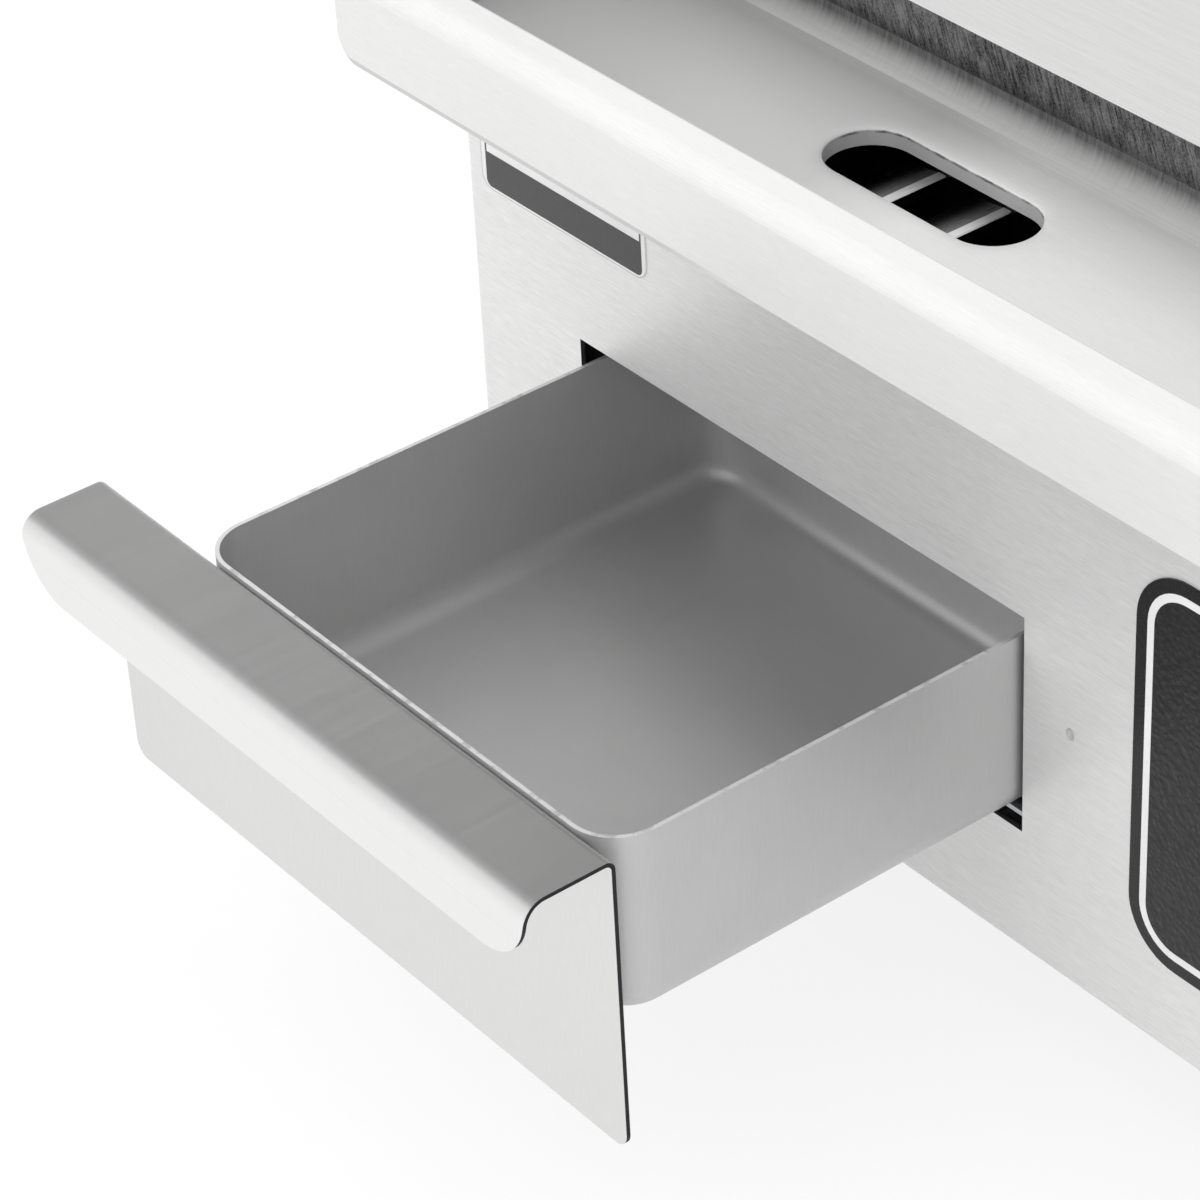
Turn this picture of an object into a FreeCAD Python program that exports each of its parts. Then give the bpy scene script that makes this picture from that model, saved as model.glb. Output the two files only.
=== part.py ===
import FreeCAD, Part
import math
import os

# Countertop commercial electric griddle with a grease drawer, in millimetres, +Z up.
# The front faces -Y. The origin is the centre of the bounding box at floor level,
# measured with the grease drawer pulled out, which is how it rests here.

# Body
BODY_W = 550.0            # over the top tray, the apron and the front panel
BODY_D = 397.5            # front panel's face to the splash guard's back
SHEET = 1.2               # stainless sheet of the body and top
FOOT_H = 31.0             # floor to the underside of the body
GUARD_TOP = 242.3         # overall height
APRON_BOTTOM = 178.3      # the guard's sides reach down over the body to here

# Top tray, heights above the floor
LIP_REACH = 32.5          # front lip ahead of the front panel
LIP_TOP_D = 12.0
LIP_TOP = 213.6
LIP_BOTTOM = 189.8
LIP_BEND = 5.0
LIP_CORNER = 7.0
TROUGH_FLOOR = 190.3
TROUGH_BACK = 54.4        # behind the front panel's face
TROUGH_BACK_BEND = 8.0
TROUGH_FRONT_BEND = 3.0
LEDGE_TOP = 205.3
LEDGE_W = 22.0

# Drain hole in the trough: a slot with a drawn rim
DRAIN_L = 59.3
DRAIN_W = 21.0
DRAIN_BEND = 5.0
DRAIN_DEPTH = 9.0
DRAIN_FROM_LEFT = 133.7   # its centre from the body's left side
DRAIN_BACK = 25.1         # its centre behind the front panel's face

# Chute under the drain hole
CHUTE_SHEET = 1.0
CHUTE_W = 80.0
CHUTE_FRONT = 7.4         # behind the front panel's face
CHUTE_MOUTH_D = 42.6
CHUTE_OUTLET_D = 30.6
CHUTE_BEND = 4.0
CHUTE_FLANGE = 8.0

# Griddle plate
PLATE_T = 10.5
PLATE_FRONT = 45.0        # its front edge behind the front panel's face

# Drawer opening in the front panel
OPEN_W = 150.0
OPEN_H = 56.4
OPEN_FROM_LEFT = 40.4
OPEN_ABOVE_BODY = 32.9

# Folds of the front panel, the body shell and the base plate
PANEL_RETURN = 18.0
PANEL_TOP_FLANGE = 6.5
PANEL_BOTTOM_FLANGE = 14.0
PANEL_BEND = 2.0
SHELL_FLANGE = 14.0
BASE_FLANGE = 12.0

# Grease drawer
DRAWER_OUT = 110.0        # how far it is pulled out at rest
DRAWER_SHEET = 1.0
PAN_W = 146.0
PAN_H = 47.0
PAN_D = 148.0
PAN_SIDE_GAP = 1.3        # to the opening's right edge
PAN_CORNER = 12.0
PAN_EDGE = 7.0
PAN_BELOW_OPEN_TOP = 5.3
FRONT_W = 183.2
FRONT_H = 76.2
FRONT_PAST_OPEN = 1.0     # past the opening's right edge
FRONT_TOP_BEND = 2.5
FRONT_CORNER = 4.0
HANDLE_REACH = 22.1       # flange ahead of the drawer's front
HANDLE_DROP = 17.5
HANDLE_BEND = 5.5
HANDLE_CORNER = 15.0

# Guide rails of the drawer
RAIL_L = 148.0
RAIL_LEDGE = 12.0
RAIL_RUN_GAP = 0.1
RAIL_FLANGE_W = 22.0

# Control area
OVERLAY_W = 290.0
OVERLAY_H = 98.9
OVERLAY_T = 0.5
OVERLAY_CORNER = 14.0
OVERLAY_GAP = 33.2        # from the opening's right edge
OVERLAY_ABOVE_OPEN = 32.8
KNOB_FROM_OVERLAY = 145.0
KNOB_DROP = 46.0          # below the overlay's top edge
KNOB_R = 23.0
KNOB_SKIRT_R = 27.0
KNOB_H = 21.0
KNOB_GAP = 1.0            # to the overlay
KNOB_WAIST = 6.5          # half the grip's thickness
KNOB_CUT = 11.0           # depth of the hollows beside the grip
KNOB_BORE = 13.0
SHAFT_R = 3.0
SHAFT_FIT = 0.06
SHAFT_HOLE_R = 5.5
LAMP_FROM_OVERLAY = 238.0
LAMP_DROPS = (30.0, 66.0)
LAMP_R = 5.0
LAMP_BEZEL_R = 7.5
LABEL_W = 61.0            # plain sticker under the lip, left of the drawer
LABEL_H = 36.0
LABEL_T = 0.15
LABEL_CORNER = 4.0
LABEL_FROM_LEFT = 6.0
LABEL_ABOVE_OPEN = 26.5

# Screws through the sheet metal
SCREW_R = 1.6
SCREW_HOLE_R = 1.7
SCREW_HEAD_R = 4.0
SCREW_HEAD_T = 1.6

# Feet
FOOT_INSET_X = 38.0
FOOT_INSET_Y = 40.0
FOOT_R = 18.5
FOOT_PAD_R = 16.0
FOOT_PAD_T = 4.0          # the pad that the foot stands on
FOOT_HEAD_Z = 14.0        # top of the pocket for the screw's head
FOOT_POCKET_R = 7.0
FOOT_SCREW_R = 2.5

# Heating parts
TUBE_R = 4.0
LEG_GAP = 58.0            # between the legs of an element
LEG_FRONT = 96.0          # behind the front panel's face
LEG_BACK = 356.0
BAR_PLACES = (156.0, 296.0)
BAR_W = 22.0
BAR_T = 2.0
STUD_R = 3.0
STUD_SHORT = 19.5
STUD_LONG = 48.0          # the corner studs also carry the shield
SHIELD_DROP = 42.0        # the heat shield below the plate
SHIELD_SHEET = 0.8
SHIELD_RIM = 12.0
SHIELD_FRONT = 81.0
SHIELD_BACK = 371.0
BLANKET_T = 22.0
BLANKET_GAP = 3.0         # to the shield's rim

# Supply terminals, from the right side and from the back
TERMINAL_FROM_RIGHT = 120.0
TERMINAL_FROM_BACK = 90.0
TERMINAL_PITCH = 12.0
TERMINAL_BASE_T = 9.0
TERMINAL_TOP = 19.0
EARTH_FROM_TERMINAL = 60.0
EARTH_R = 2.5

# Cable gland at the back: bore of the cable, thread and collar
GLAND_BORE_R = 5.0
GLAND_THREAD_R = 9.8
GLAND_HEX_R = 13.0
GLAND_CROWN_R = 11.0
GLAND_COLLAR_T = 8.0
GLAND_REACH = 20.0
GLAND_FROM_RIGHT = 60.0
GLAND_Z = 66.0

# Places worked out from the sizes above
HANDLE_FRONT = DRAWER_OUT + DRAWER_SHEET + HANDLE_REACH
FACE_Y = (HANDLE_FRONT - BODY_D - GLAND_REACH) / 2.0
BACK_Y = FACE_Y + BODY_D
HALF_W = BODY_W / 2.0
OPEN_X0 = OPEN_FROM_LEFT - HALF_W
OPEN_X1 = OPEN_X0 + OPEN_W
OPEN_Z0 = FOOT_H + OPEN_ABOVE_BODY
OPEN_Z1 = OPEN_Z0 + OPEN_H
PANEL_TOP = TROUGH_FLOOR - SHEET
FRAME_TOP = LEDGE_TOP - SHEET
PAN_X1 = OPEN_X1 - PAN_SIDE_GAP
PAN_X0 = PAN_X1 - PAN_W
PAN_TOP = OPEN_Z1 - PAN_BELOW_OPEN_TOP
PAN_BOTTOM = PAN_TOP - PAN_H
PAN_Y0 = FACE_Y - DRAWER_OUT
FLOOR_TOP = FOOT_H + 2.0 * SHEET
OVERLAY_X0 = OPEN_X1 + OVERLAY_GAP
OVERLAY_Z1 = OPEN_Z1 + OVERLAY_ABOVE_OPEN
KNOB_X = OVERLAY_X0 + KNOB_FROM_OVERLAY
KNOB_Z = OVERLAY_Z1 - KNOB_DROP
LAMP_X = OVERLAY_X0 + LAMP_FROM_OVERLAY
DRAIN_X = DRAIN_FROM_LEFT - HALF_W
DRAIN_Y = FACE_Y + DRAIN_BACK
TUBE_Z = LEDGE_TOP - TUBE_R - 0.05
BAR_TOP = TUBE_Z - TUBE_R
NUT_FIT = 0.05
BULB_X = 2.0 * LEG_GAP + 4.0
SHIELD_Z = LEDGE_TOP - SHIELD_DROP
TERMINAL_X = HALF_W - TERMINAL_FROM_RIGHT
TERMINAL_Y = BACK_Y - TERMINAL_FROM_BACK
FOOT_TOP = FOOT_H + SHEET
OVERLAY_FACE = FACE_Y - OVERLAY_T
KNOB_BACK = OVERLAY_FACE - KNOB_GAP
KNOB_FRONT = KNOB_BACK - KNOB_H
PANEL_BACK = FACE_Y + SHEET
GLAND_X = HALF_W - GLAND_FROM_RIGHT
EPS = 0.01                # less than any real gap
PAST = 1.0                # how far a cutter reaches past what it cuts


# Basic shapes

def vec(x, y, z):
    return FreeCAD.Vector(x, y, z)


def block(x0, x1, y0, y1, z0, z1):
    return Part.makeBox(x1 - x0, y1 - y0, z1 - z0, vec(x0, y0, z0))


def rod(radius, start, end):
    way = end - start
    return Part.makeCylinder(radius, way.Length, start, way)


def ring(outer, inner, start, end):
    return rod(outer, start, end).cut(rod(inner, start, end))


def hexagon(radius, start, end):
    """A hexagonal prism about the line from start to end, along one of the axes."""
    way = end - start
    across = vec(0, 1, 0) if abs(way.x) > EPS else vec(1, 0, 0)
    up = way.cross(across)
    up.normalize()
    points = []
    for i in range(7):
        turn = math.radians(60.0 * i)
        points.append(start + across * (radius * math.cos(turn)) + up * (radius * math.sin(turn)))
    return Part.Face(Part.makePolygon(points)).extrude(way)


def together(shapes):
    joined = shapes[0]
    if len(shapes) > 1:
        joined = joined.multiFuse(shapes[1:])
    return joined.removeSplitter()


def group(shapes):
    return Part.makeCompound(shapes)


# Outlines: a path of points in a plane, with a tangent arc at each corner

def at_x(x):
    return lambda u, v: vec(x, u, v)


def at_y(y):
    return lambda u, v: vec(u, y, v)


def at_z(z):
    return lambda u, v: vec(u, v, z)


def direction(a, b):
    length = math.hypot(b[0] - a[0], b[1] - a[1])
    return ((b[0] - a[0]) / length, (b[1] - a[1]) / length)


def corner_arc(before, corner, after, radius):
    """Start, middle and end of the arc that rounds one corner."""
    d1 = direction(before, corner)
    d2 = direction(corner, after)
    cross = d1[0] * d2[1] - d1[1] * d2[0]
    turn = math.atan2(abs(cross), d1[0] * d2[0] + d1[1] * d2[1])
    leg = radius * math.tan(turn / 2.0)
    start = (corner[0] - d1[0] * leg, corner[1] - d1[1] * leg)
    end = (corner[0] + d2[0] * leg, corner[1] + d2[1] * leg)
    inward = direction(corner, ((start[0] + end[0]) / 2.0, (start[1] + end[1]) / 2.0))
    reach = radius / math.cos(turn / 2.0) - radius
    middle = (corner[0] + inward[0] * reach, corner[1] + inward[1] * reach)
    return start, middle, end


def rounded_path(points, radii, place, closed=False):
    """Edges through the points; radii has one entry per point, 0 where the corner is sharp."""
    count = len(points)
    stops = []
    for i, point in enumerate(points):
        ends = not closed and i in (0, count - 1)
        if ends or radii[i] < EPS:
            stops.append((point, None, point))
        else:
            stops.append(corner_arc(points[i - 1], point, points[(i + 1) % count], radii[i]))
    edges = []
    for i, (start, middle, end) in enumerate(stops):
        if middle is not None:
            edges.append(Part.Arc(place(*start), place(*middle), place(*end)).toShape())
        if closed or i < count - 1:
            following = stops[(i + 1) % count][0]
            if place(*end).distanceToPoint(place(*following)) > EPS:
                edges.append(Part.LineSegment(place(*end), place(*following)).toShape())
    return edges


def outline_face(points, radii, place):
    return Part.Face(Part.Wire(rounded_path(points, radii, place, closed=True)))


def prism(points, radii, place, way):
    return outline_face(points, radii, place).extrude(way)


def rounded_block(x0, x1, y0, y1, z0, z1, radius):
    corners = [(x0, y0), (x1, y0), (x1, y1), (x0, y1)]
    return prism(corners, [radius] * 4, at_z(z0), vec(0, 0, z1 - z0))


def rounded_plate(x0, x1, z0, z1, y0, y1, radius):
    corners = [(x0, z0), (x1, z0), (x1, z1), (x0, z1)]
    return prism(corners, [radius] * 4, at_y(y0), vec(0, y1 - y0, 0))


def turned(profile, place, centre, axis):
    """A closed straight-sided profile turned once round the axis."""
    corners = [place(*point) for point in profile]
    corners.append(corners[0])
    return Part.Face(Part.makePolygon(corners)).revolve(centre, axis, 360)


def side_of_path(points, radii, thickness):
    """The path one thickness to the right, with its own bend radii."""
    moved = []
    moved_radii = []
    last = len(points) - 1
    for i, point in enumerate(points):
        ways = []
        if i > 0:
            ways.append(direction(points[i - 1], point))
        if i < last:
            ways.append(direction(point, points[i + 1]))
        normals = [(way[1], -way[0]) for way in ways]
        if len(normals) == 1:
            shift = normals[0]
            moved_radii.append(0.0)
        else:
            a, b = normals
            scale = 1.0 + a[0] * b[0] + a[1] * b[1]
            shift = ((a[0] + b[0]) / scale, (a[1] + b[1]) / scale)
            cross = ways[0][0] * ways[1][1] - ways[0][1] * ways[1][0]
            growth = thickness if cross > 0 else -thickness
            moved_radii.append(max(radii[i] + growth, 0.0) if radii[i] >= EPS else 0.0)
        moved.append((point[0] + shift[0] * thickness, point[1] + shift[1] * thickness))
    return moved, moved_radii


def bent_sheet(points, radii, thickness, place, way):
    """A bent sheet: the path is one of its faces, and the sheet lies to the right of it."""
    moved, moved_radii = side_of_path(points, radii, thickness)
    edges = rounded_path(points, radii, place)
    edges.append(Part.LineSegment(place(*points[-1]), place(*moved[-1])).toShape())
    edges += rounded_path(moved, moved_radii, place)
    edges.append(Part.LineSegment(place(*moved[0]), place(*points[0])).toShape())
    wire = Part.Wire(Part.__sortEdges__(edges))
    return Part.Face(wire).extrude(way)


def pressed_section(centre, way, radius):
    """The tube's eight-sided pressed section, square to an axis-aligned way."""
    axes = [axis for axis in (vec(1, 0, 0), vec(0, 1, 0), vec(0, 0, 1)) if abs(axis.dot(way)) < 0.5]
    reach = radius / math.cos(math.pi / 8.0)
    corners = []
    for i in range(9):
        turn = math.pi / 8.0 + math.pi / 4.0 * i
        corners.append(centre + axes[0] * (reach * math.cos(turn)) + axes[1] * (reach * math.sin(turn)))
    return Part.Face(Part.makePolygon(corners))


def tube_along(points, radii, radius):
    """A pressed tube: straight runs joined by quarter bends, each run along an axis."""
    pieces = []
    place = points[0]
    last = len(points) - 1
    for i in range(1, last):
        back = (points[i - 1] - points[i]).normalize()
        onward = (points[i + 1] - points[i]).normalize()
        start = points[i] + back * radii[i]
        end = points[i] + onward * radii[i]
        centre = start + onward * radii[i]
        section = pressed_section(start, back, radius)
        if place.distanceToPoint(start) > EPS:
            pieces.append(pressed_section(place, back, radius).extrude(start - place))
        pieces.append(section.revolve(centre, (start - centre).cross(end - centre), 90.0))
        place = end
    pieces.append(pressed_section(place, points[last] - place, radius).extrude(points[last] - place))
    return together(pieces)


def slot_cutter(cx, cy, length, width, z0, z1):
    return rounded_block(cx - length / 2.0, cx + length / 2.0, cy - width / 2.0, cy + width / 2.0,
                         z0, z1, min(length, width) / 2.0 - EPS)


def vent_slot(u0, u1, v0, v1, place, way):
    """A narrow upright slot whose ends are cut back at 45 degrees."""
    cut = (u1 - u0) * 0.3
    corners = [(u0 + cut, v0), (u1 - cut, v0), (u1, v0 + cut), (u1, v1 - cut),
               (u1 - cut, v1), (u0 + cut, v1), (u0, v1 - cut), (u0, v0 + cut)]
    return prism(corners, [0] * 8, place, way)


# Top tray: front lip, grease trough, ledge round the heated opening, drawn drain rim

def lip_corner_cutters():
    """What rounds the lip's two lower corners, seen from the front."""
    cutters = []
    for side in (-1.0, 1.0):
        edge = side * HALF_W
        inner = edge - side * LIP_CORNER
        x0, x1 = min(edge, inner), max(edge, inner)
        square = block(x0, x1, FACE_Y - LIP_REACH - 1, FACE_Y - LIP_REACH + SHEET + 1,
                       LIP_BOTTOM, LIP_BOTTOM + LIP_CORNER)
        round_part = rod(LIP_CORNER, vec(inner, FACE_Y - LIP_REACH - 2, LIP_BOTTOM + LIP_CORNER),
                         vec(inner, FACE_Y - LIP_REACH + SHEET + 2, LIP_BOTTOM + LIP_CORNER))
        cutters.append(square.cut(round_part))
    return cutters


def drain_rim():
    """The drawn rim: floor turned down into a short collar, as two straights and two half turns."""
    reach = DRAIN_W / 2.0
    run = DRAIN_L / 2.0 - reach
    wide = reach + DRAIN_BEND
    path = [(wide + EPS, TROUGH_FLOOR), (reach, TROUGH_FLOOR), (reach, TROUGH_FLOOR - DRAIN_DEPTH)]
    bends = [0, DRAIN_BEND, 0]
    mirror = [(-u, v) for u, v in path]
    pieces = []
    front = bent_sheet([(DRAIN_Y + u, v) for u, v in mirror], bends, SHEET,
                       at_x(DRAIN_X - run), vec(2 * run, 0, 0))
    back = bent_sheet([(DRAIN_Y + u, v) for u, v in path], bends, -SHEET,
                      at_x(DRAIN_X - run), vec(2 * run, 0, 0))
    pieces += [front, back]
    for side in (-1.0, 1.0):
        axis_x = DRAIN_X + side * run
        moved, moved_radii = side_of_path(path, bends, -SHEET)
        place = at_x(axis_x)
        shifted = [(DRAIN_Y + u, v) for u, v in path]
        shifted_moved = [(DRAIN_Y + u, v) for u, v in moved]
        edges = rounded_path(shifted, bends, place)
        edges.append(Part.LineSegment(place(*shifted[-1]), place(*shifted_moved[-1])).toShape())
        edges += rounded_path(shifted_moved, moved_radii, place)
        edges.append(Part.LineSegment(place(*shifted_moved[0]), place(*shifted[0])).toShape())
        face = Part.Face(Part.Wire(Part.__sortEdges__(edges)))
        pieces.append(face.revolve(vec(axis_x, DRAIN_Y, 0), vec(0, 0, 1), -180.0 * side))
    return pieces


def top_tray():
    lip_front = FACE_Y - LIP_REACH
    lip_back = lip_front + LIP_TOP_D
    rise = FACE_Y + TROUGH_BACK
    path = [(lip_front, LIP_BOTTOM), (lip_front, LIP_TOP), (lip_back, LIP_TOP),
            (lip_back, TROUGH_FLOOR), (rise, TROUGH_FLOOR), (rise, LEDGE_TOP),
            (rise + LEDGE_W, LEDGE_TOP)]
    bends = [0, LIP_BEND, SHEET + 0.2, TROUGH_FRONT_BEND, TROUGH_BACK_BEND, SHEET + 0.6, 0]
    sheet = bent_sheet(path, bends, SHEET, at_x(-HALF_W), vec(BODY_W, 0, 0))
    inner_w = HALF_W - SHEET
    inner_back = BACK_Y - SHEET
    frame_front = rise + 4.0
    frame_plan = [(-inner_w, frame_front), (inner_w, frame_front),
                  (inner_w, inner_back), (-inner_w, inner_back)]
    frame = prism(frame_plan, [0, 0, 3.0, 3.0], at_z(FRAME_TOP), vec(0, 0, SHEET))
    window = block(-inner_w + LEDGE_W, inner_w - LEDGE_W, rise + LEDGE_W, BACK_Y - LEDGE_W,
                   FRAME_TOP - 1, LEDGE_TOP + 1)
    tray = sheet.fuse(frame.cut(window))
    for side in (-1.0, 1.0):
        x0, x1 = sorted((side * inner_w, side * (HALF_W + 1)))
        tray = tray.cut(block(x0, x1, lip_back, BACK_Y, LIP_BOTTOM - 5, LIP_TOP + 20))
    for cutter in lip_corner_cutters():
        tray = tray.cut(cutter)
    hole = slot_cutter(DRAIN_X, DRAIN_Y, DRAIN_L + 2 * DRAIN_BEND, DRAIN_W + 2 * DRAIN_BEND,
                       TROUGH_FLOOR - 3, TROUGH_FLOOR + 3)
    return together([tray.cut(hole)] + drain_rim())


# Splash guard: one sheet round the back and both sides, its sides reaching down as an apron

def splash_guard():
    front = FACE_Y - LIP_REACH + LIP_TOP_D
    plan = [(-HALF_W, front), (-HALF_W, BACK_Y), (HALF_W, BACK_Y), (HALF_W, front)]
    wrap = bent_sheet(plan, [0, 3, 3, 0], SHEET, at_z(APRON_BOTTOM), vec(0, 0, GUARD_TOP - APRON_BOTTOM))
    side = [(front, LIP_TOP), (front, PANEL_TOP), (FACE_Y - 8, APRON_BOTTOM),
            (BACK_Y + 1, APRON_BOTTOM), (BACK_Y + 1, GUARD_TOP), (FACE_Y + 24, GUARD_TOP)]
    keep = prism(side, [0, 6, 4, 0, 0, 14], at_x(-HALF_W - 1), vec(BODY_W + 2, 0, 0))
    return wrap.common(keep)


def griddle_plate():
    half = HALF_W - SHEET - 0.4
    front = FACE_Y + PLATE_FRONT
    back = BACK_Y - SHEET - 0.4
    plan = [(-half, front), (half, front), (half, back), (-half, back)]
    plate = prism(plan, [1.0, 1.0, 3.0, 3.0], at_z(LEDGE_TOP), vec(0, 0, PLATE_T))
    edges = []
    for edge in plate.Edges:
        box = edge.BoundBox
        if box.ZMin > LEDGE_TOP + PLATE_T - 0.1:
            edges.append(edge)
    return plate.makeChamfer(0.4, edges)


# Front panel with the drawer opening and the holes of the controls

def control_holes(y0, y1, shaft_r, lamp_r):
    cutters = [rod(shaft_r, vec(KNOB_X, y0, KNOB_Z), vec(KNOB_X, y1, KNOB_Z))]
    for drop in LAMP_DROPS:
        z = OVERLAY_Z1 - drop
        cutters.append(rod(lamp_r, vec(LAMP_X, y0, z), vec(LAMP_X, y1, z)))
    return cutters


def thermostat_screw_places():
    return [(KNOB_X - 14.0, KNOB_Z), (KNOB_X + 14.0, KNOB_Z)]


def front_panel():
    path = [(FACE_Y + PANEL_BOTTOM_FLANGE, FOOT_H), (FACE_Y, FOOT_H), (FACE_Y, PANEL_TOP),
            (FACE_Y + PANEL_TOP_FLANGE, PANEL_TOP)]
    bends = [0, PANEL_BEND, PANEL_BEND, 0]
    notch = 2 * SHEET + 0.2
    face = bent_sheet(path, bends, SHEET, at_x(notch - HALF_W), vec(BODY_W - 2 * notch, 0, 0))
    return_back = FACE_Y + PANEL_RETURN
    plan = [(-HALF_W, return_back), (-HALF_W, FACE_Y), (HALF_W, FACE_Y), (HALF_W, return_back)]
    returns = bent_sheet(plan, bends, -SHEET, at_z(FOOT_H + PANEL_BEND),
                         vec(0, 0, PANEL_TOP - FOOT_H - 2 * PANEL_BEND))
    panel = together([face, returns])
    y0 = FACE_Y - PAST
    y1 = return_back + PAST
    for side in (-1.0, 1.0):
        x0, x1 = sorted((side * (HALF_W - SHEET - 0.2), side * (HALF_W + PAST)))
        panel = panel.cut(block(x0, x1, y0, y1, APRON_BOTTOM - 0.3, PANEL_TOP + PAST))
    panel = panel.cut(block(OPEN_X0, OPEN_X1, y0, PANEL_BACK + PAST, OPEN_Z0, OPEN_Z1))
    for cutter in control_holes(y0, PANEL_BACK + PAST, SHAFT_HOLE_R, LAMP_R + 0.3):
        panel = panel.cut(cutter)
    for x, z in thermostat_screw_places():
        panel = panel.cut(rod(2.1, vec(x, y0, z), vec(x, PANEL_BACK + PAST, z)))
    return panel


# Body shell: sides and back in one bent sheet, with flanges top and bottom and vent slots

def shell_vents():
    """Upright slots: one row low on each side and two banks on the back."""
    pitch = 16.0
    half_slot = 2.5
    cutters = []
    for row in range(7):
        y = FACE_Y + 200.0 + pitch * row
        cutters.append(vent_slot(y - half_slot, y + half_slot, 70.0, 118.0,
                                 at_x(-HALF_W - PAST), vec(BODY_W + 2 * PAST, 0, 0)))
    for bank in (-95.0, 95.0):
        for row in range(7):
            x = bank + pitch * (row - 3)
            cutters.append(vent_slot(x - half_slot, x + half_slot, 86.0, 134.0,
                                     at_y(BACK_Y - 6), vec(0, 10, 0)))
    return cutters


def body_shell():
    half = HALF_W - SHEET
    back = BACK_Y - SHEET
    front = FACE_Y + SHEET + 1.1
    plan = [(-half, front), (-half, back), (half, back), (half, front)]
    wrap = bent_sheet(plan, [0, 3, 3, 0], SHEET, at_z(FOOT_H), vec(0, 0, FRAME_TOP - FOOT_H))
    low_side = block(-HALF_W, HALF_W, front - PAST, FACE_Y + TROUGH_BACK + 4, PANEL_TOP, FRAME_TOP + PAST)
    wrap = wrap.cut(low_side)
    inner = half - SHEET - SHELL_FLANGE
    flange_top = FRAME_TOP - SHEET
    start = FACE_Y + TROUGH_BACK + 10
    pieces = [wrap]
    for side in (-1.0, 1.0):
        x0, x1 = sorted((side * half, side * (half - SHELL_FLANGE)))
        pieces.append(block(x0, x1, start, back - 5, flange_top, FRAME_TOP))
        pieces.append(block(x0, x1, FACE_Y + PANEL_BOTTOM_FLANGE + 0.5, back - 5, FOOT_H, FOOT_H + SHEET))
    pieces.append(block(-inner, inner, back - SHELL_FLANGE, back, FOOT_H, FOOT_H + SHEET))
    pieces.append(block(-inner, inner, back - SHELL_FLANGE, back, flange_top, FRAME_TOP))
    shell = together(pieces)
    cutters = shell_vents()
    cutters.append(rod(GLAND_THREAD_R + 0.2, vec(GLAND_X, back - SHEET - PAST, GLAND_Z),
                       vec(GLAND_X, back + PAST, GLAND_Z)))
    for y, z in shell_screw_places():
        cutters.append(rod(SCREW_HOLE_R, vec(-HALF_W, y, z), vec(HALF_W, y, z)))
    for cutter in cutters:
        shell = shell.cut(cutter)
    return shell


def shell_screw_places():
    """Screws through the panel's returns and the apron into the shell, as (y, z)."""
    return [(FACE_Y + 11.0, FOOT_H + 35.0), (FACE_Y + 11.0, FOOT_H + 115.0),
            (FACE_Y + 120.0, APRON_BOTTOM + 9.0), (FACE_Y + 330.0, APRON_BOTTOM + 9.0)]


# Base plate, laid on the flanges of the panel and the shell

def foot_places():
    places = []
    for side in (-1.0, 1.0):
        for y in (FACE_Y + FOOT_INSET_Y, BACK_Y - FOOT_INSET_Y):
            places.append((side * (HALF_W - FOOT_INSET_X), y))
    return places


def base_screw_places():
    places = []
    for side in (-1.0, 1.0):
        for y in (FACE_Y + 110.0, FACE_Y + 290.0):
            places.append((side * (HALF_W - 9.0), y))
    for x in (-120.0, 120.0):
        places.append((x, FACE_Y + 9.0))
        places.append((x, BACK_Y - 9.0))
    return places


def base_plate():
    half = HALF_W - 2 * SHEET - 0.3
    y0 = FACE_Y + SHEET + 1.1
    y1 = BACK_Y - 2 * SHEET - 0.3
    z0 = FOOT_H + SHEET
    flange_top = z0 + BASE_FLANGE
    pieces = [rounded_block(-half, half, y0, y1, z0, z0 + SHEET, 3.0)]
    for side in (-1.0, 1.0):
        x0, x1 = sorted((side * half, side * (half - SHEET)))
        pieces.append(block(x0, x1, y0 + 20, y1 - 20, z0, flange_top))
    pieces.append(block(-half + 20, half - 20, y1 - SHEET, y1, z0, flange_top))
    plate = together(pieces)
    cutters = []
    for row in (150.0, 250.0):
        for column in range(6):
            x = -150.0 + 60.0 * column
            y = FACE_Y + row + 8.0
            cutters.append(block(x - 3.0, x + 3.0, y, y + 44.0, z0 - PAST, z0 + SHEET + PAST))
    for x, y in foot_places():
        cutters.append(rod(2.8, vec(x, y, z0 - PAST), vec(x, y, z0 + SHEET + PAST)))
    for x, y in base_screw_places():
        cutters.append(rod(SCREW_HOLE_R, vec(x, y, z0 - PAST), vec(x, y, z0 + SHEET + PAST)))
    for cutter in cutters:
        plate = plate.cut(cutter)
    return plate


# Drawer: drawn pan and the front sheet with its rolled-over handle

def pan_solid(inset):
    """The pan's outside, or its inside when inset by the sheet."""
    solid = rounded_block(PAN_X0 + inset, PAN_X1 - inset, PAN_Y0 + inset, PAN_Y0 + PAN_D - inset,
                          PAN_BOTTOM + inset, PAN_TOP + (5 if inset else 0), PAN_CORNER - inset)
    low = []
    for edge in solid.Edges:
        if edge.BoundBox.ZMax < PAN_BOTTOM + inset + EPS:
            low.append(edge)
    return solid.makeFillet(PAN_EDGE - inset, low)


def drawer_pan():
    return pan_solid(0.0).cut(pan_solid(DRAWER_SHEET))


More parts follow.
